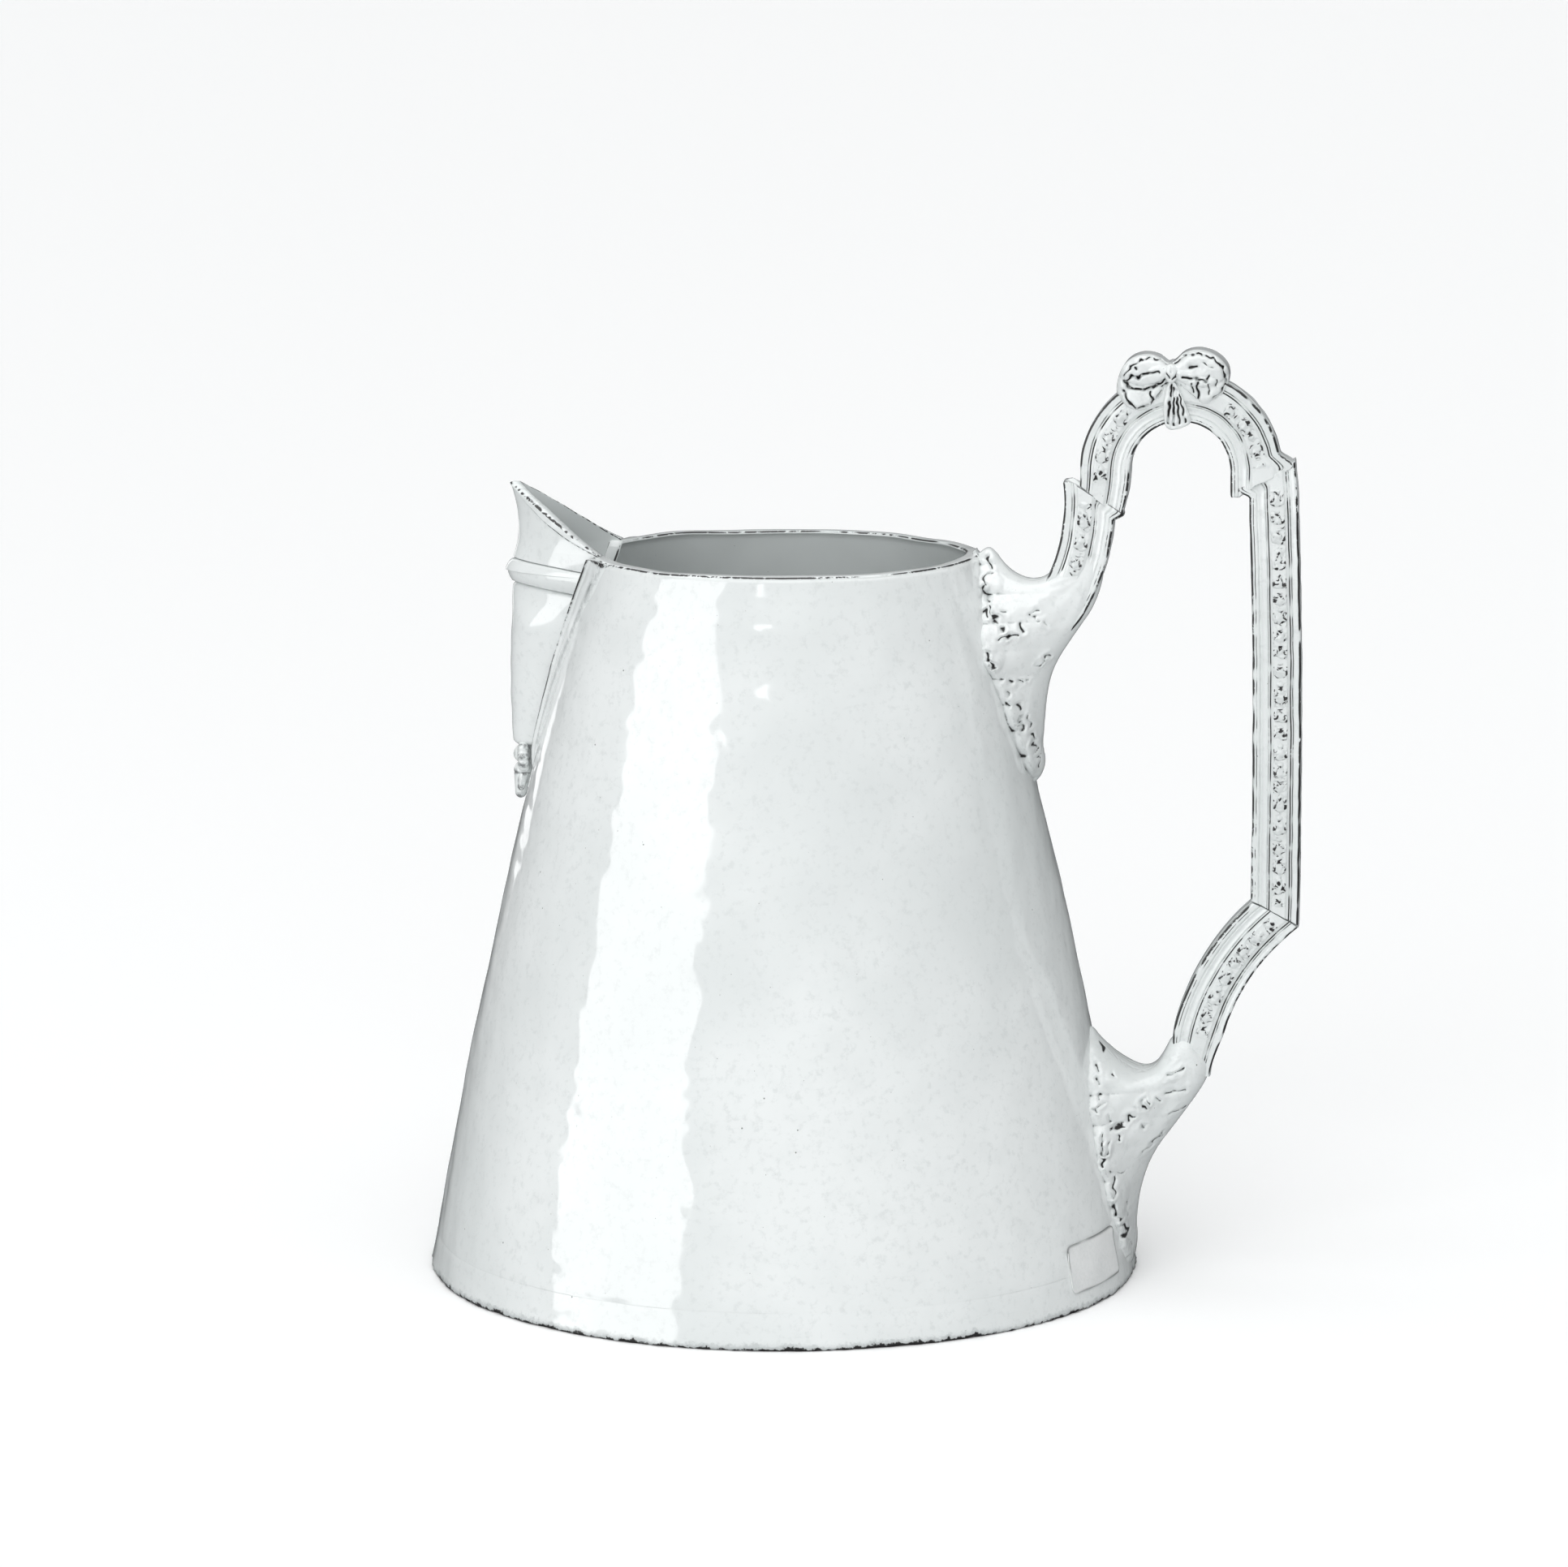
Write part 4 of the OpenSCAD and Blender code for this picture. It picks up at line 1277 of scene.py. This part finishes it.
def drawn_lines(strokes, least, reach, length, narrow, full=0.85):
    """Paints the strokes of a relief on the sides of its mesh, at least this far from the plane,
    as ragged and broken lines."""
    def lines(co):
        x, z = shaken(co[:, 0], co[:, 2], reach, length)
        best = np.zeros(len(co))
        for *ends, width, depth in pieces_of(strokes):
            dark = min(1.0, 0.35 + 0.5 * depth)
            best = np.maximum(best, dark * hump(stroke_gap(x, z, *ends), narrow * width))
        whole = full + 0.42 * plane_waves(x, z, 1.5, 85) + 0.25 * plane_waves(x, z, 4, 86)
        return best * unit(whole) * (np.abs(co[:, 1]) > least)
    return lines


def root_field(p, root, seed):
    """Distance field of a root, blended into the wall."""
    x, z = p[0][:, 0, :], p[2][:, 0, :]
    side = outline_gap(x, z, rounded(root["outline"]))
    half = root_half(x, z, root, seed) * (1 - 0.88 * rounding_off(side, ROOT_ROUNDING))
    leaf = np.maximum((np.abs(p[1]) - half[:, None, :]) * 0.7, side[:, None, :])
    return near(leaf, 1.5, settle_on_body(leaf, p, 0.8))


def root_piece(node, root, lo, hi, seed):
    """One handle root, which ends a little above the ground."""
    def field(p):
        return np.maximum(root_field(p, root, seed), 0.4 - p[2])

    lines = drawn_lines(root["strokes"], least=3, reach=0.30, length=2.4, narrow=0.55)
    field_piece(node, field, lo, hi, GLAZE_RELIEF, step=0.3, reach=0.9, gain=2.4, lines=lines)


def roots():
    root_piece("upper_root", UPPER, (44, -23, 126), (88, 23, 198), seed=61)
    root_piece("lower_root", LOWER, (72, -25, 0), (116, 25, 68), seed=63)


# ---- bow ----

BOW_LO, BOW_HI = (84.5, -10.4, 221.5), (117.5, 10.4, 245.5)
OUT = BAR_T / 2        # from the handle's plane to the side of the bar

LOOP_LEFT = {
    "outline": [
        (101.0, 241.0), (99.8, 240.2), (97.6, 242.2), (94.0, 243.0), (90.3, 241.9), (87.9, 239.2),
        (86.7, 235.4), (86.6, 232.2), (88.2, 230.3), (90.0, 228.8), (92.6, 227.8), (95.6, 228.9),
        (98.0, 231.4), (99.6, 233.8), (101.0, 235.6)],
    "swell": [
        (93.4, 238.9, 6.4, 3.6, 1.9), (92.2, 231.2, 3.9, 3.2, 1.9), (97.2, 231.9, 2.2, 3.0, 1.3),
        (97.6, 237.4, 3.0, 2.4, 0.8)],
    "strokes": [
        (0.3, 1.1, 99.9, 240.2, 98.1, 241.2, 95.2, 241.9),
        (0.28, 1.0, 95.2, 241.9, 93.0, 241.4, 90.4, 239.8), (0.26, 0.8, 90.4, 239.8, 88.3, 236.6),
        (0.4, 1.0, 91.5, 239.3, 91.8, 239.1), (0.34, 1.3, 89.2, 235.8, 90.8, 237.3),
        (0.32, 1.2, 90.8, 237.3, 92.3, 236.8), (0.34, 1.4, 92.3, 236.8, 93.8, 237.9),
        (0.3, 1.1, 93.8, 237.9, 97.7, 238.3),
        (0.34, 1.4, 88.8, 235.9, 90.2, 234.2, 93.8, 233.7, 97.1, 234.9),
        (0.3, 1.2, 97.1, 234.9, 100.6, 237.2), (0.34, 1.3, 95.5, 233.2, 96.3, 229.6),
        (0.3, 0.9, 96.3, 229.6, 95.0, 228.9), (0.32, 1.3, 88.6, 233.6, 89.8, 230.7),
        (0.32, 1.4, 89.8, 230.7, 92.4, 228.9, 95.2, 229.8), (0.3, 1.2, 96.6, 230.6, 98.3, 233.4),
        (0.28, 0.8, 98.4, 234.6, 99.6, 235.6)],
}
LOOP_RIGHT = {
    "outline": [
        (100.6, 235.6), (102.2, 235.0), (105.0, 232.6), (108.4, 229.9), (110.9, 229.9), (113.4, 232.0),
        (115.4, 235.2), (115.6, 238.6), (114.3, 240.9), (111.5, 243.2), (107.5, 244.2), (103.9, 243.4),
        (101.7, 241.0), (100.6, 240.6)],
    "swell": [
        (108.2, 239.2, 6.8, 4.2, 1.9), (109.6, 233.4, 5.4, 3.6, 1.5), (104.0, 236.2, 3.0, 2.6, 0.6)],
    "strokes": [
        (0.3, 1.1, 101.7, 240.4, 103.9, 242.4, 107.5, 243.1, 111.1, 242.1, 113.8, 239.7, 114.9, 236.2),
        (0.32, 1.3, 114.9, 236.2, 113.2, 232.9), (0.34, 1.5, 113.2, 232.9, 110.9, 230.9),
        (0.55, 0.9, 105.6, 239.8, 107.2, 239.8), (0.34, 1.3, 103.9, 237.2, 107.6, 236.7, 109.6, 236.1),
        (0.32, 1.1, 109.6, 236.1, 110.5, 237.4), (0.3, 1.0, 106.0, 235.8, 106.4, 233.4),
        (0.32, 1.2, 107.6, 236.0, 108.0, 231.4), (0.28, 0.6, 110.2, 235.6, 110.6, 232.6),
        (0.3, 0.9, 103.2, 234.8, 108.2, 230.6), (0.26, 0.5, 112.2, 236.6, 112.6, 234.0),
        (0.28, 0.5, 109.0, 240.9, 111.4, 239.6)],
}
KNOT_SHAPE = {
    "outline": [
        (99.2, 239.6), (100.2, 240.6), (101.6, 240.4), (102.6, 238.8), (102.4, 236.8), (101.3, 235.4),
        (100.0, 235.6), (98.9, 237.2)],
    "swell": [(100.8, 238.0, 2.2, 2.8, 1.3)],
    "strokes": [
        (0.26, 0.9, 99.4, 238.2, 100.4, 237.0), (0.26, 0.9, 102.2, 238.0, 101.2, 236.6),
        (0.25, 0.5, 100.6, 239.8, 100.8, 238.4)],
}
TASSEL = {
    "outline": [
        (100.2, 236.0), (101.4, 236.2), (102.9, 233.9), (104.4, 230.4), (105.6, 227.4), (106.2, 225.3),
        (104.4, 224.3), (102.6, 223.7), (100.5, 223.4), (99.2, 224.6), (98.7, 229.4), (99.2, 233.4)],
    "swell": [(101.8, 230.0, 4.4, 9.5, 1.9)],
    "strokes": [
        (0.34, 1.3, 100.9, 235.0, 100.2, 225.2), (0.34, 1.3, 101.5, 234.4, 101.7, 224.6),
        (0.32, 1.1, 102.1, 233.8, 103.2, 225.0), (0.3, 0.8, 102.7, 233.2, 104.6, 225.6)],
}


def relief_half(x, z, shape, base, seed):
    """Half thickness of a relief seen from the side: swells added to a base, less its strokes."""
    thick = base + (0.10 * plane_waves(x, z, 4, seed) + 0.05 * plane_waves(x, z, 1.8, seed + 1))
    for cx, cz, rx, rz, height in shape["swell"]:
        reach = ((x - cx) / rx) ** 2 + ((z - cz) / rz) ** 2
        thick += height * np.sqrt(unit(1.15 - reach))
    sx, sz = shaken(x, z, 0.13, 1.9)
    for *ends, width, depth in pieces_of(shape["strokes"]):
        gap = stroke_gap(sx, sz, *ends)
        thick -= depth * hump(gap, width)
    return thick


def relief_field(p, shape, base, rounding, seed):
    """Distance field of a relief that stands on both sides of the handle's plane."""
    x, z = p[0][:, 0, :], p[2][:, 0, :]
    side = outline_gap(x, z, rounded(shape["outline"]))
    edge = rounding * rounding_off(side, rounding)
    half = (relief_half(x, z, shape, base, seed) - edge)[:, None, :]
    return np.maximum((np.abs(p[1]) - half) * 0.75, side[:, None, :])


def bar_hollow(p):
    """Distance from the arch's bar, as a ring with a rounded square section."""
    across = np.abs(np.hypot(p[0] - ARCH_X, p[2] - ARCH_Z) - ARCH_R) - (BAR_W / 2 - 1.0)
    through = np.abs(p[1]) - (OUT - 1.6)
    outside = np.hypot(np.maximum(across, 0), np.maximum(through, 0))
    return outside + np.minimum(np.maximum(across, through), 0) - 0.9


def bow_piece(node, shape, rise, rounding, seed, side=0):
    """One piece of the bow, rising above the sides of the bar. Side -1 or 1 keeps the front or
    the back only; otherwise the piece is hollowed for the arch."""
    def field(p):
        whole = relief_field(p, shape, OUT + rise, rounding, seed)
        if side:
            return np.maximum(whole, OUT - 1.2 - side * p[1])
        return np.maximum(whole, -(bar_hollow(p) + 1.2))

    lines = drawn_lines(shape["strokes"], OUT - 1, reach=0.13, length=1.9, narrow=0.80, full=1.0)
    field_piece(node, field, BOW_LO, BOW_HI, GLAZE_BOW, step=0.2, reach=0.6, gain=2.2, lines=lines)


def bow():
    bow_piece("bow_loop_left", LOOP_LEFT, rise=0.2, rounding=2.2, seed=71)
    bow_piece("bow_loop_right", LOOP_RIGHT, rise=0.2, rounding=2.2, seed=73)
    bow_piece("bow_knot", KNOT_SHAPE, rise=1.2, rounding=1.0, seed=75)
    bow_piece("bow_tassel_front", TASSEL, rise=0.1, rounding=0.7, seed=77, side=-1)
    bow_piece("bow_tassel_back", TASSEL, rise=0.1, rounding=0.7, seed=77, side=1)


# ---- label ----

LABEL_W = 26.8
LABEL_CORNER = 1.6
LABEL_T = 0.22
LABEL_TURN = math.radians(-22.4)


def maker_label():
    """Blank paper label with rounded corners, wrapped on the wall."""
    lo, hi = box("maker_label")
    height = hi[2] - lo[2]
    middle = (lo[2] + hi[2]) / 2
    u = np.linspace(-LABEL_W / 2, LABEL_W / 2, 90)
    over = np.clip(np.abs(u) - (LABEL_W / 2 - LABEL_CORNER), 0, LABEL_CORNER)
    half = height / 2 - LABEL_CORNER + np.sqrt(np.maximum(LABEL_CORNER ** 2 - over ** 2, 0.02))
    uu, vv = np.meshgrid(u, np.linspace(-1, 1, 44), indexing="ij")
    z = middle + vv * half[:, None]
    r0 = body_r(z)
    angle = LABEL_TURN + uu / body_r(middle)
    rise = unevenness(polar(r0, angle, z).reshape(-1, 3)).reshape(z.shape)
    curl = 0.25 * smooth(0.75, 1.0, np.abs(uu) / (LABEL_W / 2)) * smooth(0.5, 1.0, vv)
    top, under = (polar(r0 + rise + extra + 0.12, angle, z) for extra in (LABEL_T + curl, curl - 0.05))
    mesh = tube_mesh("maker_label_paper", closed(top, under))
    to_side = LABEL_W / 2 - np.abs(uu)
    to_top = (1 - np.abs(vv)) * half[:, None]
    # painted shade along the label's edges
    rim = hump(np.minimum(to_side, to_top), 0.40)
    paper_edge_shade = over_tube(closed(rim, 0 * rim + 1))
    set_thin(mesh, paper_edge_shade, 0 * paper_edge_shade)
    add_piece(mesh, PAPER, "maker_label")


# ---- stage ----

# Where the picture was taken from: turned about the object, in degrees and millimetres.
VIEW_TURN = 7.0
VIEW_DISTANCE = 1380.65
VIEW_HEIGHT = 365.14
VIEW_PITCH = math.degrees(0.17)
LENS = 122.2
FLOOR_HALF = 16


def camera():
    data = bpy.data.cameras.new("camera")
    data.lens = LENS
    data.sensor_width = 36
    data.clip_start, data.clip_end = 0.05, 200
    cam = put("camera", data)
    turn = math.radians(VIEW_TURN)
    away = VIEW_DISTANCE * MM
    cam.location = (away * math.sin(turn), -away * math.cos(turn), VIEW_HEIGHT * MM)
    cam.rotation_euler = (math.radians(90 - VIEW_PITCH), 0, turn)
    bpy.context.scene.camera = cam


def softbox(name, turn, distance, low, width, height, glow, diffuse=False):
    """A soft rectangular light that stands round the object, turn degrees from the view. It only
    shows in reflections, unless it is diffuse too."""
    data = bpy.data.lights.new(name, "AREA")
    data.shape = "RECTANGLE"
    data.size, data.size_y = width, height
    data.energy = glow * math.pi * width * height
    light = put(name, data)
    a = math.radians(VIEW_TURN + turn)
    light.location = (distance * math.sin(a), -distance * math.cos(a), low + height / 2)
    light.rotation_euler = (math.radians(90), 0, a)
    light.visible_diffuse = diffuse


def sky_light(name, turn, height, strength, softness, mirrored):
    """A very soft distant light, turn degrees from the view and height degrees up."""
    data = bpy.data.lights.new(name, "SUN")
    data.energy = strength
    data.angle = math.radians(softness)
    light = put(name, data)
    light.rotation_euler = (math.radians(90 - height), 0, math.radians(VIEW_TURN + turn))
    light.visible_glossy = mirrored


def lights():
    """A wide window in front on the left, a small one high up, a strip behind, and soft sky."""
    softbox("key_softbox", turn=-56, distance=1.25, low=0.0, width=1.06, height=1.3, glow=3.4)
    softbox("small_window", turn=-11.5, distance=1.7, low=0.77, width=0.17, height=0.12, glow=4.5,
            diffuse=True)
    softbox("left_rim", turn=-150, distance=1.6, low=0.0, width=0.35, height=1.2, glow=1.5)
    sky_light("overhead", turn=0, height=86, strength=2.0, softness=80, mirrored=True)
    sky_light("front", turn=-15, height=18, strength=1.5, softness=60, mirrored=False)


def world():
    """Even grey room light for the object, dimmer in its reflections, and white for the camera."""
    room = bpy.data.worlds.new("room")
    bpy.context.scene.world = room
    n = Nodes(room)
    path = n.add("ShaderNodeLightPath").outputs

    def glow(colour, strength):
        return n.add("ShaderNodeBackground", {"Color": colour, "Strength": strength}).outputs[0]

    def choose(ray, other, this):
        return n.add("ShaderNodeMixShader", {0: path[ray], 1: other, 2: this}).outputs[0]

    lit = choose("Is Glossy Ray", glow(ROOM_TINT, 0.22), glow(ROOM_TINT, 0.13))
    seen = choose("Is Camera Ray", lit, glow(PURE_WHITE, 1.0))
    n.fill(n.tree.nodes["World Output"], {"Surface": seen})


def floor():
    corners = [(-1, -1, 0), (1, -1, 0), (1, 1, 0), (-1, 1, 0)]
    mesh = make_mesh("floor", FLOOR_HALF * np.array(corners) / MM, np.array([[0, 1, 2, 3]]))
    mesh.materials.append(floor_material())
    put("floor", mesh)


# ---- build ----

# The clay shows on a crest or in a crevice from these values up, and from less where there is wear;
# painted shade in hollows and, with inside, on inner faces.
GLAZE = glaze_material("glaze_wall", crest=0.36, crevice=0.8, wear=0.04, inside=True)
GLAZE_FOOT = glaze_material("glaze_foot", crest=0.75, crevice=0.9, foot=True)
GLAZE_SPOUT = glaze_material("glaze_spout", crest=0.36, crevice=0.36, wear=0.03, inside=True)
GLAZE_BAR = glaze_material("glaze_bar", crest=0.36, crevice=0.36, wear=0.05)
GLAZE_RELIEF = glaze_material("glaze_relief", crest=0.75, crevice=0.40, wear=0.05)
GLAZE_GARLAND = glaze_material("glaze_garland", crest=0.75, crevice=0.27, wear=0.08)
GLAZE_BOW = glaze_material("glaze_bow", crest=0.75, crevice=0.34, wear=0.09)
PAPER = paper_material()

camera()
body_wall()
base_dish()
spout()
spout_strap(-1, "spout_strap_front")
spout_strap(1, "spout_strap_back")
spout_foot()
handle_bars()
garlands()
roots()
bow()
maker_label()
floor()
lights()
world()
bpy.context.scene.view_settings.view_transform = "Standard"
